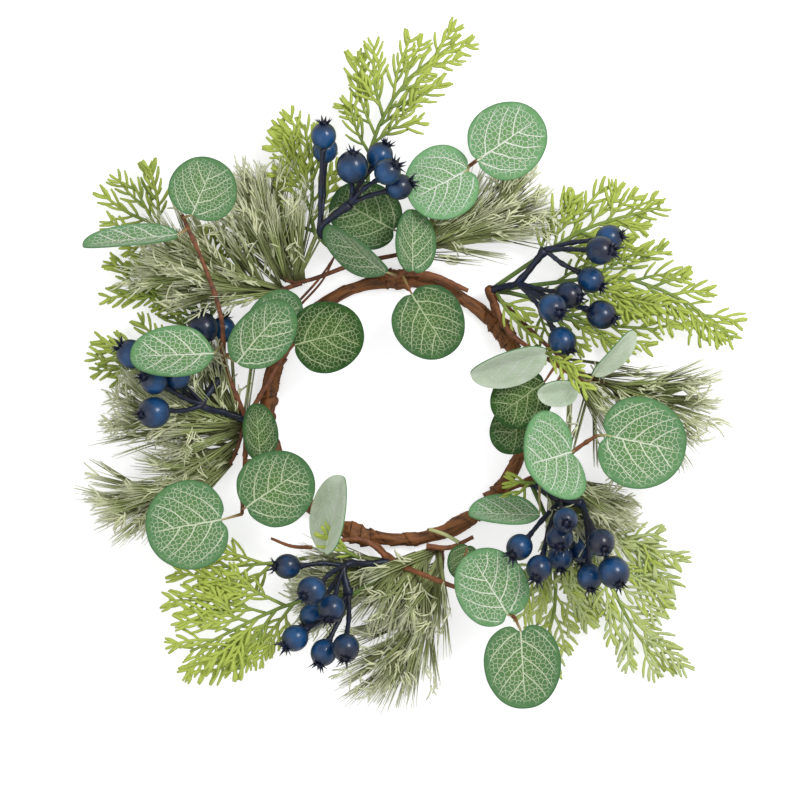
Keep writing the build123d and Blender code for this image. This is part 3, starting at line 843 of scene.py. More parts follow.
def paint_tape(tree, patches, grain, height):
    ring = settings().ring
    # Painted shade in the creases and at the step of each turn, lighter on their ridges, mixed with the
    # tape's own patches
    crease = maths(tree, "MULTIPLY", attribute(tree, "along"), 0.75)
    wear_and_shade = maths(tree, "MULTIPLY_ADD", patches, 0.5, crease)
    colour = blended(tree, ranged(tree, wear_and_shade, 0.25, 0.95), ring.tape_shade, ring.tape_colour)
    pale = blended(tree, 0.25, ring.tape_colour, BARE_PAPER)
    return blended(tree, ranged(tree, grain, 0.56, 0.72, 0.0, 0.4), colour, pale), height


def paint_berry(tree, patches, grain, height):
    """Navy in patches, with painted shade that turns it near black towards the crown and where the coat
    turns away from the eye.
    """
    berries = settings().berries
    share = ranged(tree, maths(tree, "MULTIPLY_ADD", attribute(tree, "tone"), 0.5, patches), 0.4, 0.95)
    colour = blended(tree, share, berries.berry_shade, berries.berry_colour)
    # Painted shade: the berry turns near black towards its crown end
    low = ranged(tree, attribute(tree, "along"), 0.62, 0.98, 0.0, 0.75)
    colour = blended(tree, low, colour, BERRY_CROWN_SHADE)
    # Painted shade: the coat darkens to near black where it turns away from the eye
    facing = add_node(tree, "ShaderNodeLayerWeight", {"Blend": 0.42}).outputs["Facing"]
    return blended(tree, ranged(tree, facing, 0.10, 0.85, 0.0, 0.88), colour, BERRY_RIM_SHADE), height


def paint_stalk(tree, patches, grain, height):
    share = ranged(tree, patches, 0.35, 0.7)
    return blended(tree, share, STALK_SHADE, settings().berries.stalk_colour), height


def paint_twig(tree, patches, grain, height):
    share = ranged(tree, maths(tree, "MULTIPLY_ADD", attribute(tree, "tone"), 0.3, patches), 0.35, 0.85)
    return blended(tree, share, BARK_SHADE, settings().leaves.twig_colour), height


def paint_petiole(tree, patches, grain, height):
    """Rust brown at the twig and cream at the leaf, more so for light leaves."""
    pale = ranged(tree, attribute(tree, "tone"), 0.1, 0.6)
    cream = maths(tree, "MULTIPLY", attribute(tree, "along"), pale)
    colour = blended(tree, cream, settings().leaves.twig_colour, PETIOLE_CREAM)
    return blended(tree, ranged(tree, patches, 0.4, 0.8, 0.0, 0.4), colour, PETIOLE_GREEN), height


def printed_net(tree, height):
    """Veins of a leaf, how far it is printed, and the height of its cloth and veins."""
    spot = add_node(tree, "ShaderNodeUVMap", uv_map="leaf_place").outputs[0]
    inputs = {0: spot, 1: attribute(tree, "along"), 2: attribute(tree, "tone")}
    veins, printed = add_node(tree, "ShaderNodeGroup", inputs, node_tree=vein_group()).outputs
    relief = maths(tree, "MULTIPLY_ADD", veins, 0.8, maths(tree, "MULTIPLY", height, 0.25))
    return veins, printed, relief


def paint_leaf_face(tree, patches, grain, height):
    """Green by tone, which is partly painted light and shade, warmer in the middle, with wear where it is
    printed, under the printed veins.
    """
    leaves = settings().leaves
    veins, printed, relief = printed_net(tree, height)
    tone, rim = attribute(tree, "tone"), attribute(tree, "along")
    # The tone is partly the leaf's own green and partly painted light and shade
    green = blended(tree, tone, leaves.leaf_dark, leaves.leaf_light)
    share = ranged(tree, patches, 0.35, 0.75, 0.0, 0.45)
    green = blended(tree, share, green, blended(tree, 0.4, green, LEAF_PATCH))
    warm = blended(tree, 0.35, green, LEAF_WARMTH)
    green = blended(tree, ranged(tree, rim, 0.1, 0.85, 0.6, 0.0), green, warm)
    share = maths(tree, "MULTIPLY", printed, 0.30)
    green = blended(tree, share, green, blended(tree, 0.4, green, LEAF_WEAR))
    green = blended(tree, ranged(tree, rim, 0.955, 0.995, 0.0, 0.35), green, LEAF_RIM)
    cream = blended(tree, tone, leaves.vein_colour, leaves.pale_vein_colour)
    strength = maths(tree, "MULTIPLY", veins, ranged(tree, tone, 0.0, 0.7, 0.60, 0.92))
    return blended(tree, strength, green, cream), relief


def paint_leaf_back(tree, patches, grain, height):
    veins, printed, relief = printed_net(tree, height)
    share = ranged(tree, patches, 0.35, 0.75, 0.35, 0.0)
    pale = blended(tree, share, settings().leaves.leaf_back, BACK_PATCH)
    shadow = blended(tree, 0.4, pale, BACK_SHADE)
    pale = blended(tree, ranged(tree, printed, 0.0, 1.0, 0.0, 0.55), pale, shadow)
    return blended(tree, maths(tree, "MULTIPLY", veins, 0.75), pale, BACK_VEIN), relief


def paint_needle(tree, patches, grain, height):
    """Olive grey, brown at the foot and frosted at the tip."""
    pine = settings().pine
    along = attribute(tree, "along")
    # The tone carries painted light and shade: lighter for rising bunches, darker deep in the spray
    green = blended(tree, attribute(tree, "tone"), pine.needle_shade, pine.needle_colour)
    green = blended(tree, ranged(tree, patches, 0.4, 0.7, 0.0, 0.5), green, NEEDLE_PATCH)
    foot = blended(tree, ranged(tree, along, 0.0, 0.22, 0.7, 0.0), green, NEEDLE_FOOT)
    tip = ranged(tree, maths(tree, "MULTIPLY_ADD", patches, 0.35, along), 0.78, 1.20)
    return blended(tree, tip, foot, pine.frost_colour), height


def paint_thread(tree, patches, grain, height):
    share = ranged(tree, patches, 0.3, 0.62)
    return blended(tree, share, THREAD_SHADE, settings().pine.frost_colour), height


def paint_cedar(tree, patches, grain, height):
    """Older green at the stems, yellow green at the tips; a tone above one is bleached."""
    cedar = settings().cedar
    tone = attribute(tree, "tone")
    share = maths(tree, "MULTIPLY_ADD", tone, 0.35, attribute(tree, "along"))
    share = ranged(tree, maths(tree, "MULTIPLY_ADD", patches, 0.5, share), 0.35, 1.35)
    colour = blended(tree, share, cedar.cedar_shade, cedar.cedar_tip)
    return blended(tree, ranged(tree, tone, 0.98, 1.7, 0.0, 0.5), colour, BLEACHED_CEDAR), height


def paint_wire(tree, patches, grain, height):
    return blended(tree, ranged(tree, patches, 0.3, 0.7), WIRE_DARK, WIRE_LIGHT), height


def show_apart(tree, shader, seen, output):
    """Shows the second shader to the camera and the first to all other rays."""
    rays = tree.nodes.new("ShaderNodeLightPath").outputs["Is Camera Ray"]
    inputs = {0: rays, 1: shader.outputs[0], 2: seen.outputs[0]}
    choice = add_node(tree, "ShaderNodeMixShader", inputs)
    tree.links.new(choice.outputs[0], tree.nodes.new(output).inputs[0])


class MakeStage(bpy.types.Operator):
    """Lay the white table, the lamps and the camera straight above"""

    bl_idname = "candle_ring.make_stage"
    bl_label = "Stage"

    def execute(self, context):
        stage = settings().stage
        bm = bmesh.new()
        bmesh.ops.create_grid(bm, x_segments=2, y_segments=2, size=2.0)
        mesh = mesh_from(bm, "table_top")
        mesh.materials.append(self.table_material())
        table = bpy.data.objects.new("table_top", mesh)
        context.scene.collection.objects.link(table)

        view = bpy.data.cameras.new("view_from_above")
        view.lens = stage.lens
        view.sensor_width = FILM_WIDTH
        view.clip_end = 20
        camera = bpy.data.objects.new("view_from_above", view)
        x, y, height = SIGHT
        camera.location = (x, y, stage.view_width * stage.lens / FILM_WIDTH + height)
        context.scene.collection.objects.link(camera)
        context.scene.camera = camera

        self.lamp(context, "key_lamp", (0.42, 0.34, 0.74), 0.30, stage.key_power)
        self.lamp(context, "fill_lamp", (-0.6, -0.3, 0.8), 0.9, stage.key_power * 0.35)
        world = context.scene.world or bpy.data.worlds.new("room")
        context.scene.world = world
        world.use_nodes = True
        tree = world.node_tree
        tree.nodes.clear()
        light = {"Color": (0.98, 0.99, 1.0, 1), "Strength": stage.world_light}
        light = add_node(tree, "ShaderNodeBackground", light)
        seen = add_node(tree, "ShaderNodeBackground", {"Color": (1, 1, 1, 1), "Strength": 1.0})
        show_apart(tree, light, seen, "ShaderNodeOutputWorld")
        context.scene.view_settings.view_transform = "Standard"
        return {"FINISHED"}

    def lamp(self, context, name, spot, size, power):
        light = bpy.data.lights.new(name, "AREA")
        light.size = size
        light.energy = power
        lamp = bpy.data.objects.new(name, light)
        lamp.location = spot
        lamp.rotation_euler = Vector(spot).to_track_quat("Z", "Y").to_euler()
        context.scene.collection.objects.link(lamp)

    def table_material(self):
        material = bpy.data.materials.new("white_table")
        material.use_nodes = True
        tree = material.node_tree
        tree.nodes.clear()
        matt = add_node(tree, "ShaderNodeBsdfDiffuse", {"Color": (0.78, 0.77, 0.80, 1)})
        glow = add_node(tree, "ShaderNodeEmission", {"Color": (1, 1, 1, 1), "Strength": 0.62})
        lift = add_node(tree, "ShaderNodeAddShader", {0: matt.outputs[0], 1: glow.outputs[0]})
        show_apart(tree, matt, lift, "ShaderNodeOutputMaterial")
        return material


def ring_place(turn):
    """Point on the middle line of the wire, and the direction out of the opening."""
    ring = settings().ring
    outward = Vector((cos(turn), sin(turn), 0))
    return outward * ring.ring_radius + UP * ring.ring_height, outward


def bound_turns(pick):
    """Angles round the ring between which the stem of a pick is bound."""
    step = tau / RING_FACES
    x, y = KNOB_SHARES[pick][:2]
    first = round((atan2(y, x) - radians(STEM_LEAD_ANGLE)) / step)
    return first * step, (first + STEM_BOUND_FACES) * step


def wound_tube(turn, sweep, steps, middle, radius, pitch, crinkle, seed, whole=False):
    """Tube of wound tape along the ring, with the step of each turn and its creases."""
    ring_radius = settings().ring.ring_radius
    growth = Growth()
    bm = growth.bm
    bmesh.ops.create_circle(bm, cap_ends=False, segments=TAPE_SIDES, radius=1)
    upright = Matrix.Rotation(turn, 4, "Z") @ Matrix.Translation((ring_radius, 0, 0))
    upright = upright @ Matrix.Rotation(pi / 2, 4, "X")
    bmesh.ops.transform(bm, matrix=upright @ Matrix.Scale(BARE_TUBE_RADIUS, 4), verts=bm.verts)
    spin_round(bm, sweep, steps, whole)
    for vert in bm.verts:
        here = atan2(vert.co.y, vert.co.x)
        while here < turn - 1e-4:
            here += tau
        outward = Vector((cos(here), sin(here), 0))
        offset = vert.co - outward * ring_radius
        lean = atan2(offset.z, offset.dot(outward))
        share = (here - turn) / sweep
        run = (here - turn) * ring_radius
        winding = run / pitch + lean / tau + 0.35 * noise.noise(Vector((run * 90, seed, 0)))
        part = winding - floor(winding)
        crease = noise.noise(Vector((winding * 1.3, lean * 2.6 + run * 60, seed + part * 1.2)))
        fine = noise.noise(Vector((run * 120, lean * 5 + run * 110, seed)))
        size = radius(share) + crinkle * (0.8 * (1 - part) ** 3 - 0.2 + 0.9 * crease + 0.5 * fine)
        vert.co = middle(outward, here, share) + (outward * cos(lean) + UP * sin(lean)) * size
        vert.co.z = max(vert.co.z, TAPE_FLOOR * (1 + fine))
        # Painted light and shade for the tape's finish: lighter on the ridges of the creases, darker in
        # them and just before the step of each turn
        light = 0.6 + 0.6 * crease + 0.9 * fine - 5 * max(0, part - 0.9)
        vert[growth.along] = min(max(light, 0), 1)
        vert[growth.tone] = part
    if not whole:
        rims = [edge for edge in bm.edges if edge.is_boundary]
        bmesh.ops.holes_fill(bm, edges=rims, sides=0)
    bmesh.ops.remove_doubles(bm, verts=bm.verts, dist=1e-7)
    bmesh.ops.recalc_face_normals(bm, faces=bm.faces)
    for face in bm.faces:
        face.smooth = True
    return growth


class MakeRing(bpy.types.Operator):
    """Wind crinkled brown tape round the wire hoop"""

    bl_idname = "candle_ring.make_ring"
    bl_label = "Taped ring"

    def execute(self, context):
        ring = settings().ring

        def middle(outward, turn, share):
            sway = TAPE_SWAY * noise.noise(Vector((cos(turn) * 2, sin(turn) * 2, 3)))
            return outward * (ring.ring_radius + sway) + UP * ring.ring_height

        def radius(share):
            swell = TAPE_SWELL * noise.noise(Vector((cos(share * tau) * 5, sin(share * tau) * 5, 9)))
            collars = 0.0
            for angle, half_width, height_share in COLLAR_SHARES:
                collars += height_share * max(0.0, 1 - ((share * 360 - angle) / half_width) ** 4)
            return ring.tape_radius * (1 + collars) - TAPE_INSET + swell

        growth = wound_tube(
            0.0, tau, TAPE_STEPS, middle, radius, ring.tape_pitch, ring.crinkle, 1.7, whole=True
        )
        tape = make_material("brown_paper_tape", paint_tape)
        growth.finish("wound_tape", [tape], ["ring_tape"], "paper_tape")
        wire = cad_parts["ring_wire"]
        wire.data.materials.clear()
        wire.data.materials.append(make_material("hoop_wire", paint_wire, {"Metallic": 1.0}))
        return {"FINISHED"}


class MakeStems(bpy.types.Operator):
    """Bind the paper-wrapped stem of each pick to the ring"""

    bl_idname = "candle_ring.make_stems"
    bl_label = "Bound stems"

    def execute(self, context):
        ring = settings().ring
        tape = make_material("brown_paper_tape", paint_tape)
        stem_shape = strand_shape("wrapped_stem_shape", 14, [1.0] * 60)
        side = radians(STEM_SIDE_ANGLE)
        offset = ring.tape_radius + STEM_GAP + ring.stem_radius
        for number, pick in enumerate(PICKS):
            first, last = bound_turns(pick)
            knob = place(KNOB_SHARES[pick])
            points = []
            for step in range(5):
                centre, outward = ring_place(mixed(first, last, step / 4))
                points.append(centre + outward * offset * cos(side) + UP * offset * sin(side))
            leave = (knob - points[-1]).normalized()
            points += [knob, knob + leave * STEM_END]
            route = Route(points)
            knob_share = route.marks[-2] / route.length

            def swell(share):
                ridge = 0.16 * noise.noise(Vector((share * 46, number, 0)))
                end = 1 - 0.6 * eased((share - 0.97) / 0.03)
                return (1.0 + 1.3 * bumped(share, knob_share, 0.16) + ridge) * end

            growth = Growth()
            growth.strand(stem_shape, route, ring.stem_radius * 1.05, 0.5, swell=swell)
            for vert in growth.bm.verts:
                vert[growth.along] = 0.5 + 0.5 * noise.noise(vert.co * 900)
            growth.finish(f"wrapped_stem_{pick}", [tape], [f"pick_stem_{pick}"], "stem_wire")
            growth = self.binding(number, first, last)
            growth.finish(f"tape_binding_{pick}", [tape], [f"binding_{pick}"], "paper_tape")
        return {"FINISHED"}

    def binding(self, number, first, last):
        ring = settings().ring
        side = radians(STEM_SIDE_ANGLE)
        margin = (last - first) * 0.06

        def middle(outward, turn, share):
            pull = eased(share / 0.2) * eased((1 - share) / 0.2)
            shift = mixed(0.2, 1.0, pull) * ring.stem_radius
            height = ring.ring_height + shift * sin(side)
            return outward * (ring.ring_radius + shift * cos(side)) + UP * height

        def radius(share):
            pull = eased(share / 0.22) * eased((1 - share) / 0.22)
            full = ring.tape_radius + ring.stem_radius + ring.binding_wall
            return mixed(ring.tape_radius * 0.9, full - BINDING_INSET, pull)

        start, sweep = first + margin, last - first - 2 * margin
        crinkle = ring.crinkle * 2.0
        seed = 20.0 + number * 7
        return wound_tube(start, sweep, BINDING_STEPS, middle, radius, ring.binding_pitch, crinkle, seed)


def knuckled(share):
    """Thickness along a stalk: knuckles at both ends and a joint on the way."""
    ends = 0.55 * eased((share - 0.80) / 0.20) + 0.45 * eased((0.16 - share) / 0.16)
    joint = 0.22 * bumped(share, 0.52, 0.07)
    return 0.96 + ends + joint + 0.24 * noise.noise(Vector((share * 15, 4, 2)))


class MakeBerries(bpy.types.Operator):
    """Hang glossy navy berries with dry crowns on dark stalks"""

    bl_idname = "candle_ring.make_berries"
    bl_label = "Berries"

    def execute(self, context):
        berries = settings().berries
        coat = make_material("navy_berry_coat", paint_berry, GLOSSY_COAT)
        dark = make_material("dark_stalk_coat", paint_stalk)
        berry_shape = self.berry_shape()
        crown_shape = self.crown_shape()
        stalk_shape = strand_shape("berry_stalk_shape", 8, [1.0] * 20)
        chance = random.Random(BERRY_SEED)
        for pick in PICKS:
            knob = place(KNOB_SHARES[pick])
            forks = [place(shares) for shares in FORK_SHARES[pick]]
            stalks, balls, crowns = Growth(), Growth(), Growth()
            trunk = Route([knob, mixed(knob, forks[0], 0.5) - UP * TRUNK_SAG, forks[0], forks[1]])
            stalks.strand(stalk_shape, trunk, berries.stalk_radius * 1.15, 0.5, swell=knuckled)
            for x, y, z, size_share, fork in BERRY_SHARES[pick]:
                middle = place((x, y, z))
                radius = berries.berry_radius * size_share
                axis = (middle - forks[fork]).normalized()
                end = middle - axis * radius * 1.02
                sag = axis.cross(UP).normalized() * chance.uniform(-STALK_SAG, STALK_SAG)
                sag -= UP * chance.uniform(0, STALK_SAG)
                branch = Route([forks[fork], mixed(forks[fork], end, 0.5) + sag, end])
                stalks.strand(stalk_shape, branch, berries.stalk_radius * 0.82, 0.5, swell=knuckled)
                seat = Matrix.Translation(middle) @ axis.to_track_quat("Z", "Y").to_matrix().to_4x4()
                seat = seat @ Matrix.Rotation(chance.uniform(0, tau), 4, "Z")
                tone = chance.random()
                self.lay(balls, berry_shape, seat @ Matrix.Scale(radius, 4), tone)
                pole = seat @ Matrix.Translation((0, 0, radius * 0.98))
                reach = berries.crown_radius * (0.9 + 0.25 * chance.random())
                self.lay(crowns, crown_shape, pole @ Matrix.Scale(reach, 4), tone)
            stalks.finish(f"dark_stalks_{pick}", [dark], [f"berry_stalks_{pick}"], "berry_stalk")
            balls.finish(f"navy_berries_{pick}", [coat], [f"berries_{pick}"], "berry")
            crowns.finish(f"dry_crowns_{pick}", [dark], [f"berry_crowns_{pick}"], "berry_crown")
        return {"FINISHED"}

    def lay(self, growth, shape, matrix, tone):
        for vert in growth.copy_in(shape):
            vert[growth.along] = vert.co.z * 0.5 + 0.5
            vert[growth.tone] = tone
            vert.co = matrix @ vert.co

    def berry_shape(self):
        """Round berry, a little flat, with a dimple where its crown sits."""
        bm = bmesh.new()
        bmesh.ops.create_uvsphere(bm, u_segments=28, v_segments=18, radius=1)
        for vert in bm.verts:
            height, reach = vert.co.z, Vector((vert.co.x, vert.co.y)).length
            dimple = max(0.0, 1 - reach / 0.42) ** 2
            vert.co.z = height * 1.14 + (-0.18 if height > 0 else 0.06) * dimple
            vert.co.x *= 1.06
            vert.co.y *= 1.06
        bmesh.ops.recalc_face_normals(bm, faces=bm.faces)
        return mesh_from(bm, "berry_shape")

    def crown_shape(self):
        """Flared collar with nine dry ragged tips."""
        bm = bmesh.new()
        collar = {"segments": 12, "radius1": 0.42, "radius2": 0.55, "depth": 0.3}
        bmesh.ops.create_cone(bm, cap_ends=True, matrix=Matrix.Translation((0, 0, 0.05)), **collar)
        for number in range(9):
            turn = Matrix.Rotation(tau * number / 9 + 0.16 * sin(number * 5), 4, "Z")
            long = 0.88 + 0.26 * sin(number * 3 + 1)
            lean = Matrix.Rotation(radians(50 + 22 * sin(number * 2)), 4, "Y")
            lean = Matrix.Translation((0.40, 0, 0.12)) @ lean
            cone = {"segments": 6, "radius1": 0.22, "radius2": 0.02, "depth": long}
            rise = Matrix.Translation((0, 0, long / 2))
            tip = bmesh.ops.create_cone(bm, cap_ends=True, matrix=rise, **cone)["verts"]
            bmesh.ops.scale(bm, vec=(0.5, 1.0, 1.0), verts=tip)
            bmesh.ops.transform(bm, matrix=turn @ lean, verts=tip)
        bmesh.ops.recalc_face_normals(bm, faces=bm.faces)
        return mesh_from(bm, "crown_shape")


def twig_routes(pick):
    return [route_of((KNOB_SHARES[pick], *shares)) for shares in TWIG_SHARES[pick]]


class MakeTwigs(bpy.types.Operator):
    """Grow the rust brown eucalyptus twigs out of each pick"""

    bl_idname = "candle_ring.make_twigs"
    bl_label = "Eucalyptus twigs"

    def execute(self, context):
        radius = settings().leaves.twig_radius
        bark = make_material("rust_brown_twig", paint_twig)
        shape = strand_shape("twig_shape", 10, [1.0] * 40)
        for number, pick in enumerate(PICKS):
            growth = Growth()
            for route in twig_routes(pick):

                def jointed(share):
                    joint = max(0.0, 1 - abs(share * 4 % 1 - 0.5) * 9)
                    rough = noise.noise(Vector((share * 30, number + route.length, 0)))
                    return 1.15 - 0.35 * share + 0.35 * joint + 0.14 * rough

                growth.strand(shape, route, radius, 0.5 + 0.3 * sin(number * 3), swell=jointed)
            growth.finish(f"rust_twigs_{pick}", [bark], [f"eucalyptus_twig_{pick}"], "eucalyptus_twig")
        loose = Growth()
        for number, (width_share, tone, shares) in enumerate(LOOSE_TWIG_SHARES):

            def taper(share):
                return 1.1 - 0.35 * share + 0.16 * noise.noise(Vector((share * 18, number, 5)))

            loose.strand(shape, route_of(shares), radius * width_share, tone, swell=taper)
        loose.finish("loose_twigs", [bark], (), "eucalyptus_twig")
        stub = Growth()
        stub.strand(shape, route_of(STUB_SHARES), radius * 0.8, 1.0, along=(0.8, 1.0))
        skin = make_material("pale_petiole", paint_petiole)
        stub.finish("cut_stub", [skin], (), "eucalyptus_twig")
        return {"FINISHED"}


def leaf_directions(leaf):
    """Along the midrib, across it, and out of the leaf's face."""
    heading, pitch, roll = radians(leaf.heading), radians(leaf.pitch), radians(leaf.roll)
    level = Vector((-sin(heading), cos(heading), 0))
    along = Vector((cos(heading) * cos(pitch), sin(heading) * cos(pitch), sin(pitch)))
    side = level * cos(roll) + along.cross(level) * sin(roll)
    return along, side, along.cross(side)


def outline_point(turn, notch):
    """Place on the smooth outline, with the turn from 0 at the notch to 1 back at it."""
    half = []
    for pointed, notched in zip(POINTED_OUTLINE_SHARES, LEAF_OUTLINE_SHARES):
        half.append((mixed(pointed[0], notched[0], notch), mixed(pointed[1], notched[1], notch)))
    ring = half + [(along, -across) for along, across in half[-2:0:-1]]
    reach = turn * len(ring)
    corners = [Vector(ring[(int(reach) + step) % len(ring)]) for step in (-1, 0, 1, 2)]
    before, start, end, after = corners
    return curve_point(start, end, (end - before) * 0.5, (after - start) * 0.5, reach - int(reach))


class MakeLeaves(bpy.types.Operator):
    """Set the printed eucalyptus leaves on their petioles"""

    bl_idname = "candle_ring.make_leaves"
    bl_label = "Eucalyptus leaves"

    rings = 12
    steps = 64

    def execute(self, context):
        cloth = [
            make_material("printed_leaf_face", paint_leaf_face, DULL_CLOTH),
            make_material("pale_leaf_back", paint_leaf_back, DULL_CLOTH),
        ]
        petiole = make_material("pale_petiole", paint_petiole)
        petiole_shape = strand_shape("petiole_shape", 8, [1.0] * 10)
        disc = self.disc_shape()
        for pick in PICKS:
            growth, stalks = Growth(), Growth()
            spot = growth.bm.loops.layers.uv.new("leaf_place")
            routes = twig_routes(pick)
            chance = random.Random(len(pick) * LEAF_SEED)
            places = []
            for row in LEAF_SHARES[pick]:
                leaf = Leaf(*row)
                places += self.lay_leaf(growth, disc, leaf, chance)
                self.lay_petiole(stalks, petiole_shape, leaf, routes[leaf.twig])
            growth.bm.verts.index_update()
            for face in growth.bm.faces:
                for loop in face.loops:
                    loop[spot].uv = places[loop.vert.index]
            nodes = [f"eucalyptus_leaves_{pick}"]
            blades = growth.finish(f"printed_leaves_{pick}", cloth, nodes, "eucalyptus_leaf")
            thickness = blades.modifiers.new("cloth", "SOLIDIFY")
            thickness.thickness = settings().leaves.leaf_thickness
            thickness.offset = 0
            thickness.material_offset = 1
            thickness.use_rim = True
            stalks.finish(f"petioles_{pick}", [petiole], (), "eucalyptus_leaf")
        return {"FINISHED"}

    def disc_shape(self):
        """Round disc of rings, spun from a spoke that is drawn out vertex by vertex."""
        bm = bmesh.new()
        spoke = bmesh.ops.create_vert(bm, co=(0, 0, 0))["vert"]
        for ring in range(1, self.rings + 1):
            grown = bmesh.ops.extrude_vert_indiv(bm, verts=spoke[-1:])["verts"]
            grown[0].co.x = eased(0.12 + 0.88 * ring / self.rings)
            spoke += grown
        spin_round(bm, tau, self.steps, True)
        bmesh.ops.remove_doubles(bm, verts=bm.verts, dist=1e-5)
        bmesh.ops.recalc_face_normals(bm, faces=bm.faces)
        if sum(face.normal.z for face in bm.faces) < 0:
            bmesh.ops.reverse_faces(bm, faces=bm.faces)
        return mesh_from(bm, "leaf_disc_shape")

    def lay_leaf(self, growth, disc, leaf, chance):
        """Lays a disc in as the blade of a leaf; the place of each vertex along and across it."""
        root = place(leaf.root)
        length = settings().leaves.leaf_length * leaf.size
        along, side, out = leaf_directions(leaf)
        fold = tan(radians(LEAF_FOLD_ANGLE))
        cup = chance.uniform(-0.05, 0.07)
        ruffle = chance.uniform(0.004, 0.010)
        lobes = chance.choice((3, 4, 5))
        phase = chance.uniform(0, tau)
        shade = leaf.lightness + chance.uniform(-0.03, 0.03)
        heart = Vector((0.42, 0))
        places = []
        for vert in growth.copy_in(disc):
            reach = vert.co.length
            turn = atan2(vert.co.y, vert.co.x) / tau % 1
            rim = outline_point(turn if leaf.back_shows else 1 - turn, leaf.notch)
            spot = heart + (rim - heart) * reach
            run, across = spot.x, spot.y * leaf.width / 2
            rise = fold * (sqrt(across * across + 0.0016) - 0.04)
            rise += cup * (run - 0.4) ** 2 * 0.9 - abs(cup) * 0.1 * reach
            rise += ruffle * reach**4 * sin(lobes * turn * tau + phase)
            places.append((run, across))
            vert[growth.along] = reach
            vert[growth.tone] = shade
            vert.co = root + (along * run + side * across + out * rise) * length
        return places

    def lay_petiole(self, growth, shape, leaf, route):
        """Stalk from the twig to the notch of the leaf and a little under its midrib."""
        leaves = settings().leaves
        root = place(leaf.root)
        length = leaves.leaf_length * leaf.size
        along, _, out = leaf_directions(leaf)
        foot = route.nearest(root)
        tip = root + (along * PETIOLE_END_SHARE + out * -0.006) * length
        notch = root + along * 0.02 * length - out * 0.01 * length
        bow = mixed(foot, notch, 0.5) + UP * PETIOLE_BOW
        line = Route([foot, bow, notch, tip])
        growth.strand(shape, line, leaves.petiole_radius, leaf.lightness, swell=tapered(1.15, 0.75))


def scattered(point, along, side, reaches, chance):
    """Point moved by chance along and across, at most by the given reaches."""
    along_reach, side_reach = reaches
    moved = point + along * chance.uniform(-along_reach, along_reach)
    return moved + side * chance.uniform(-side_reach, side_reach)


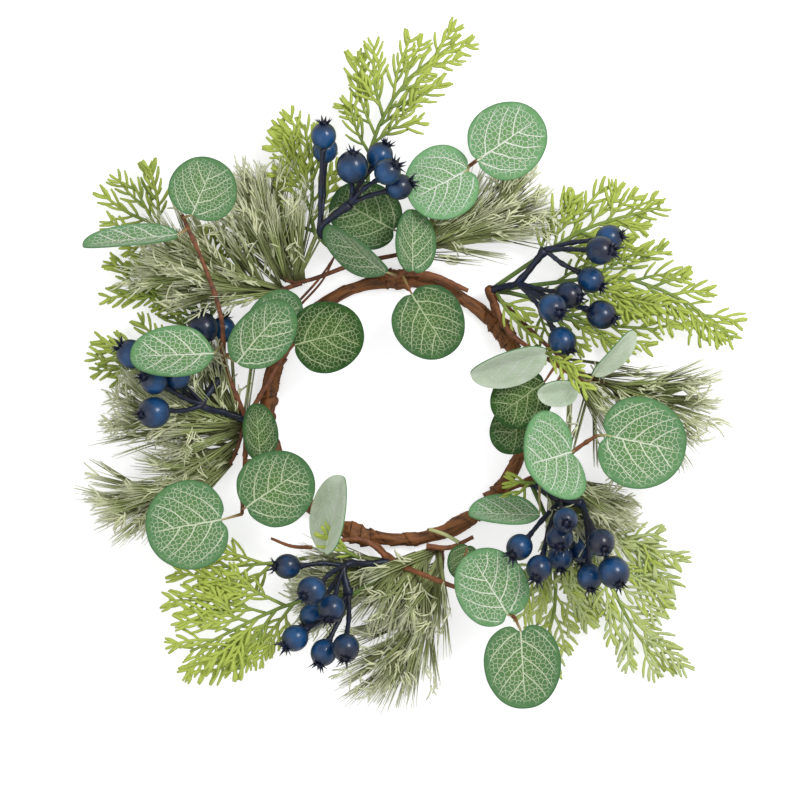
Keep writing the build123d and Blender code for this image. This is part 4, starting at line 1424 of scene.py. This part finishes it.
class MakePine(bpy.types.Operator):
    """Bristle the pine twigs with frosted needles"""

    bl_idname = "candle_ring.make_pine"
    bl_label = "Pine"

    def execute(self, context):
        pine = settings().pine
        materials = [
            make_material("frosted_needles", paint_needle),
            make_material("rust_brown_twig", paint_twig),
            make_material("frost_threads", paint_thread),
        ]
        self.needle = strand_shape("needle_shape", 3, [1.0, 0.95, 0.8, 0.3])
        self.thread = strand_shape("thread_shape", 3, [0.8, 1.0, 1.0, 0.6])
        twig = strand_shape("pine_twig_shape", 8, [1.0] * 16)
        for seed, pick in enumerate(PICKS):
            for number, shares in enumerate(PINE_SHARES[pick], start=1):
                chance = random.Random(PINE_SEED * seed + number)
                own_foot = len(shares) == 3
                route = route_of(shares if own_foot else (KNOB_SHARES[pick], *shares))
                growth = Growth()
                growth.strand(twig, route, pine.pine_twig_radius, 0.2, finish=1, swell=tapered(1.1, 0.5))
                left, right, start_share, density, past_share = BRUSH_SHARES[pick][number - 1]
                start = start_share * route.marks[1] / route.length
                for _ in range(round(pine.bunches_per_twig * density)):
                    share = mixed(start, 1.0, chance.random() ** 0.9)
                    root = route.at(share)[0]
                    self.lay_bunch(growth, root, route.points[1:], (left, right), past_share, chance)
                nodes = [f"pine_spray_{pick}_{number}"]
                growth.finish(f"frosted_pine_{pick}_{number}", materials, nodes, "pine")
        return {"FINISHED"}

    def lay_bunch(self, growth, root, run, angles, past_share, chance):
        """Needles of one bunch, nearly side by side, that end about where their neighbours do."""
        pine = settings().pine
        base, end = run
        left, right = angles
        along = (end - base).normalized()
        side = along.cross(UP).normalized()
        lift = side.cross(along)
        yaw = radians(chance.triangular(-left, right, chance.uniform(-left, right)))
        rise = radians(chance.triangular(*BUNCH_RISE))
        level = along * cos(yaw) + side * sin(yaw)
        middle = level * cos(rise) + lift * sin(rise)
        past = pine.needle_length * 0.98 * past_share
        room = ((end - root).dot(along) + past) / max(cos(yaw), 0.72)
        full = min(pine.longest_needle, room) * chance.uniform(0.84, 1.0)
        sway = side * chance.uniform(-0.03, 0.03)
        # Painted light and shade, with some chance: bunches that rise are lighter, low ones take the
        # needle shade as if deep in the spray
        tone = 0.2 + 0.9 * rise + chance.uniform(-0.3, 0.45)
        for _ in range(chance.randint(*NEEDLE_COUNT)):
            spread = side * chance.gauss(0, 0.04) + lift * chance.gauss(0, 0.03)
            heading = (middle + spread).normalized()
            foot = scattered(root, along, side, FOOT_SCATTER, chance)
            reach = full * chance.uniform(*NEEDLE_REACH)
            line = self.line(foot, heading, (heading + sway + spread * 0.4).normalized(), reach)
            own = min(max(tone + chance.uniform(-0.4, 0.45), 0), 1)
            growth.strand(self.needle, line, pine.needle_radius * chance.uniform(0.75, 1.15), own)
        for _ in range(chance.choice((0, 1, 1, 2))):
            self.lay_tuft(growth, root, middle * full, level, side, lift, chance)

    def lay_tuft(self, growth, root, needle, level, side, lift, chance):
        """Frosted threads that cling to one spot of a bunch."""
        heart = root + needle * chance.uniform(0.2, 0.92) + lift * chance.uniform(*TUFT_HEIGHT)
        lean = chance.uniform(-TUFT_LEAN, TUFT_LEAN)
        for _ in range(chance.randint(*THREAD_COUNT)):
            spot = scattered(heart, level, side, THREAD_SCATTER, chance)
            turn = radians(lean + chance.uniform(-THREAD_LEAN, THREAD_LEAN))
            heading = level * cos(turn) + level.cross(UP) * sin(turn)
            heading = (heading + UP * chance.uniform(-0.1, 0.15)).normalized()
            reach = chance.uniform(*THREAD_LENGTH)
            curl = (heading + heading.cross(UP) * chance.uniform(-0.3, 0.3)).normalized()
            line = self.line(spot, heading, curl, reach)
            growth.strand(self.thread, line, settings().pine.thread_radius, 0.8, finish=2)

    def line(self, foot, heading, end_heading, reach):
        """Slightly bent line that stays above the table."""
        bow = foot + heading * reach * 0.5
        tip = foot + end_heading * reach
        for point in (bow, tip):
            point.z = max(point.z, NEEDLE_FLOOR)
        return Route([foot, bow, tip])


class MakeCedar(bpy.types.Operator):
    """Fan the flat cedar sprigs with their blunt fingers"""

    bl_idname = "candle_ring.make_cedar"
    bl_label = "Cedar"

    def execute(self, context):
        cedar = settings().cedar
        green = make_material("yellow_green_cedar", paint_cedar)
        self.finger = strand_shape("cedar_finger_shape", 5, [0.7, 0.9, 1.05, 0.6])
        self.stem = strand_shape("cedar_stem_shape", 5, [1.0] * 10)
        for seed, pick in enumerate(PICKS):
            self.paleness = PALENESS[pick]
            for number, (first_run, shares) in enumerate(CEDAR_SHARES[pick], start=1):
                chance = random.Random(CEDAR_SEED * seed + number)
                left_share, right_share = FAN_SHARES[pick][number - 1]
                route = route_of((KNOB_SHARES[pick], *shares))
                growth = Growth()
                width, swell = cedar.finger_radius * 1.3, tapered(1.15, 0.5)
                growth.strand(self.stem, route, width, 0.2, flatness=0.8, along=(0.0, 0.6), swell=swell)
                start = route.marks[first_run] / route.length * 0.94

                def frond_reach(hand, share):
                    side_share = right_share if hand > 0 else left_share
                    return cedar.frond_length * side_share * (1.22 - 0.92 * share)

                self.grow(growth, route, start, frond_reach, cedar.frond_spacing, (0.0, 0.6), chance)
                nodes = [f"cedar_sprig_{pick}_{number}"]
                growth.finish(f"cedar_fan_{pick}_{number}", [green], nodes, "cedar")
        self.paleness = 0.0
        for number, shares in enumerate(TUFT_SHARES, start=1):
            chance = random.Random(TUFT_SEED + number)
            route = route_of(shares)
            width = cedar.finger_radius * 1.1
            growth = Growth()
            growth.strand(self.stem, route, width, 0.4, flatness=0.8, along=(0.1, 0.7))

            def short_reach(hand, share):
                return cedar.frond_length * (0.62 - 0.15 * share)

            self.grow(growth, route, 0.15, short_reach, cedar.finger_spacing, (0.3, 0.8), chance)
            growth.finish(f"cedar_tuft_{number}", [green], (), "cedar")
        return {"FINISHED"}

    def grow(self, growth, route, start, reach_of, spacing, along, chance):
        """Shoots to both sides of a route; the long ones carry fingers of their own."""
        cedar = settings().cedar
        count = max(2, round(route.length * (1 - start) / spacing))
        shoots = []
        for step in range(count):
            share = start + (1 - start) * (step + 0.6) / (count + 0.2)
            hand = step % 2 * 2 - 1
            shoots.append((share, hand, reach_of(hand, (step + 0.5) / count)))
        for share, hand in TIP_SHOOTS:
            shoots.append((share, hand, cedar.frond_length * TIP_SHOOT_SHARE))
        for share, hand, reach in shoots:
            room = route.length * (1 - share) + cedar.frond_length * 0.24
            reach = min(reach * chance.uniform(*SHOOT_REACH), room)
            point, ahead = route.at(share)
            side = ahead.cross(UP).normalized() * hand
            lean = radians(chance.uniform(*SHOOT_LEAN))
            heading = ahead * cos(lean) + side * sin(lean)
            heading = (heading + UP * chance.uniform(*SHOOT_RISE)).normalized()
            bow = point + heading * reach * 0.5 + side * reach * 0.04
            tip = point + heading * reach + ahead * reach * 0.10
            for spot in (bow, tip):
                spot.z = max(spot.z, CEDAR_FLOOR)
            shoot = Route([point, bow, tip])
            foot = mixed(along[0], along[1], share)
            rise = (foot, min(foot + 0.45, 1.0))
            tone = chance.random() + self.paleness
            width = cedar.finger_radius * chance.uniform(0.85, 1.08)
            if reach <= cedar.longest_finger:
                growth.strand(self.finger, shoot, width, tone, flatness=0.75, along=rise)
                continue
            inner = cedar.frond_length * 0.42 + reach * 0.10

            def finger_reach(hand, share):
                return min(inner * (1.05 - 0.35 * share), cedar.longest_finger)

            swell = tapered(1.1, 0.3)
            growth.strand(self.stem, shoot, width * 0.95, tone, flatness=0.75, along=rise, swell=swell)
            self.grow(growth, shoot, 0.12, finger_reach, cedar.finger_spacing, rise, chance)


class CandleRingSettings(bpy.types.PropertyGroup):
    ring: bpy.props.PointerProperty(type=RingSettings)
    berries: bpy.props.PointerProperty(type=BerrySettings)
    leaves: bpy.props.PointerProperty(type=LeafSettings)
    pine: bpy.props.PointerProperty(type=PineSettings)
    cedar: bpy.props.PointerProperty(type=CedarSettings)
    stage: bpy.props.PointerProperty(type=StageSettings)


class CandleRingPanel(bpy.types.Panel):
    """Sizes, colours and steps of the candle ring"""

    bl_idname = "VIEW3D_PT_candle_ring"
    bl_label = "Candle Ring"
    bl_space_type = "VIEW_3D"
    bl_region_type = "UI"
    bl_category = "Candle Ring"

    def draw(self, context):
        for group, steps in PARTS.items():
            box = self.layout.box()
            owner = getattr(settings(), group)
            for name in owner.bl_rna.properties.keys():
                if name not in ("rna_type", "name"):
                    box.prop(owner, name)
            for step in steps:
                box.operator(step.bl_idname)


PARTS = {
    "stage": (MakeStage,),
    "ring": (MakeRing, MakeStems),
    "berries": (MakeBerries,),
    "leaves": (MakeTwigs, MakeLeaves),
    "pine": (MakePine,),
    "cedar": (MakeCedar,),
}
SETTING_GROUPS = (
    RingSettings,
    BerrySettings,
    LeafSettings,
    PineSettings,
    CedarSettings,
    StageSettings,
    CandleRingSettings,
)
OPERATORS = tuple(step for steps in PARTS.values() for step in steps)


def register():
    for kind in SETTING_GROUPS + OPERATORS + (CandleRingPanel,):
        bpy.utils.register_class(kind)
    bpy.types.Scene.candle_ring = bpy.props.PointerProperty(type=CandleRingSettings)


def unregister():
    del bpy.types.Scene.candle_ring
    for kind in reversed(SETTING_GROUPS + OPERATORS + (CandleRingPanel,)):
        bpy.utils.unregister_class(kind)


def main():
    register()
    bpy.ops.candle_ring.make_stage()
    bpy.ops.candle_ring.make_ring()
    bpy.ops.candle_ring.make_stems()
    bpy.ops.candle_ring.make_berries()
    bpy.ops.candle_ring.make_twigs()
    bpy.ops.candle_ring.make_leaves()
    bpy.ops.candle_ring.make_pine()
    bpy.ops.candle_ring.make_cedar()


if __name__ == "__main__":
    main()
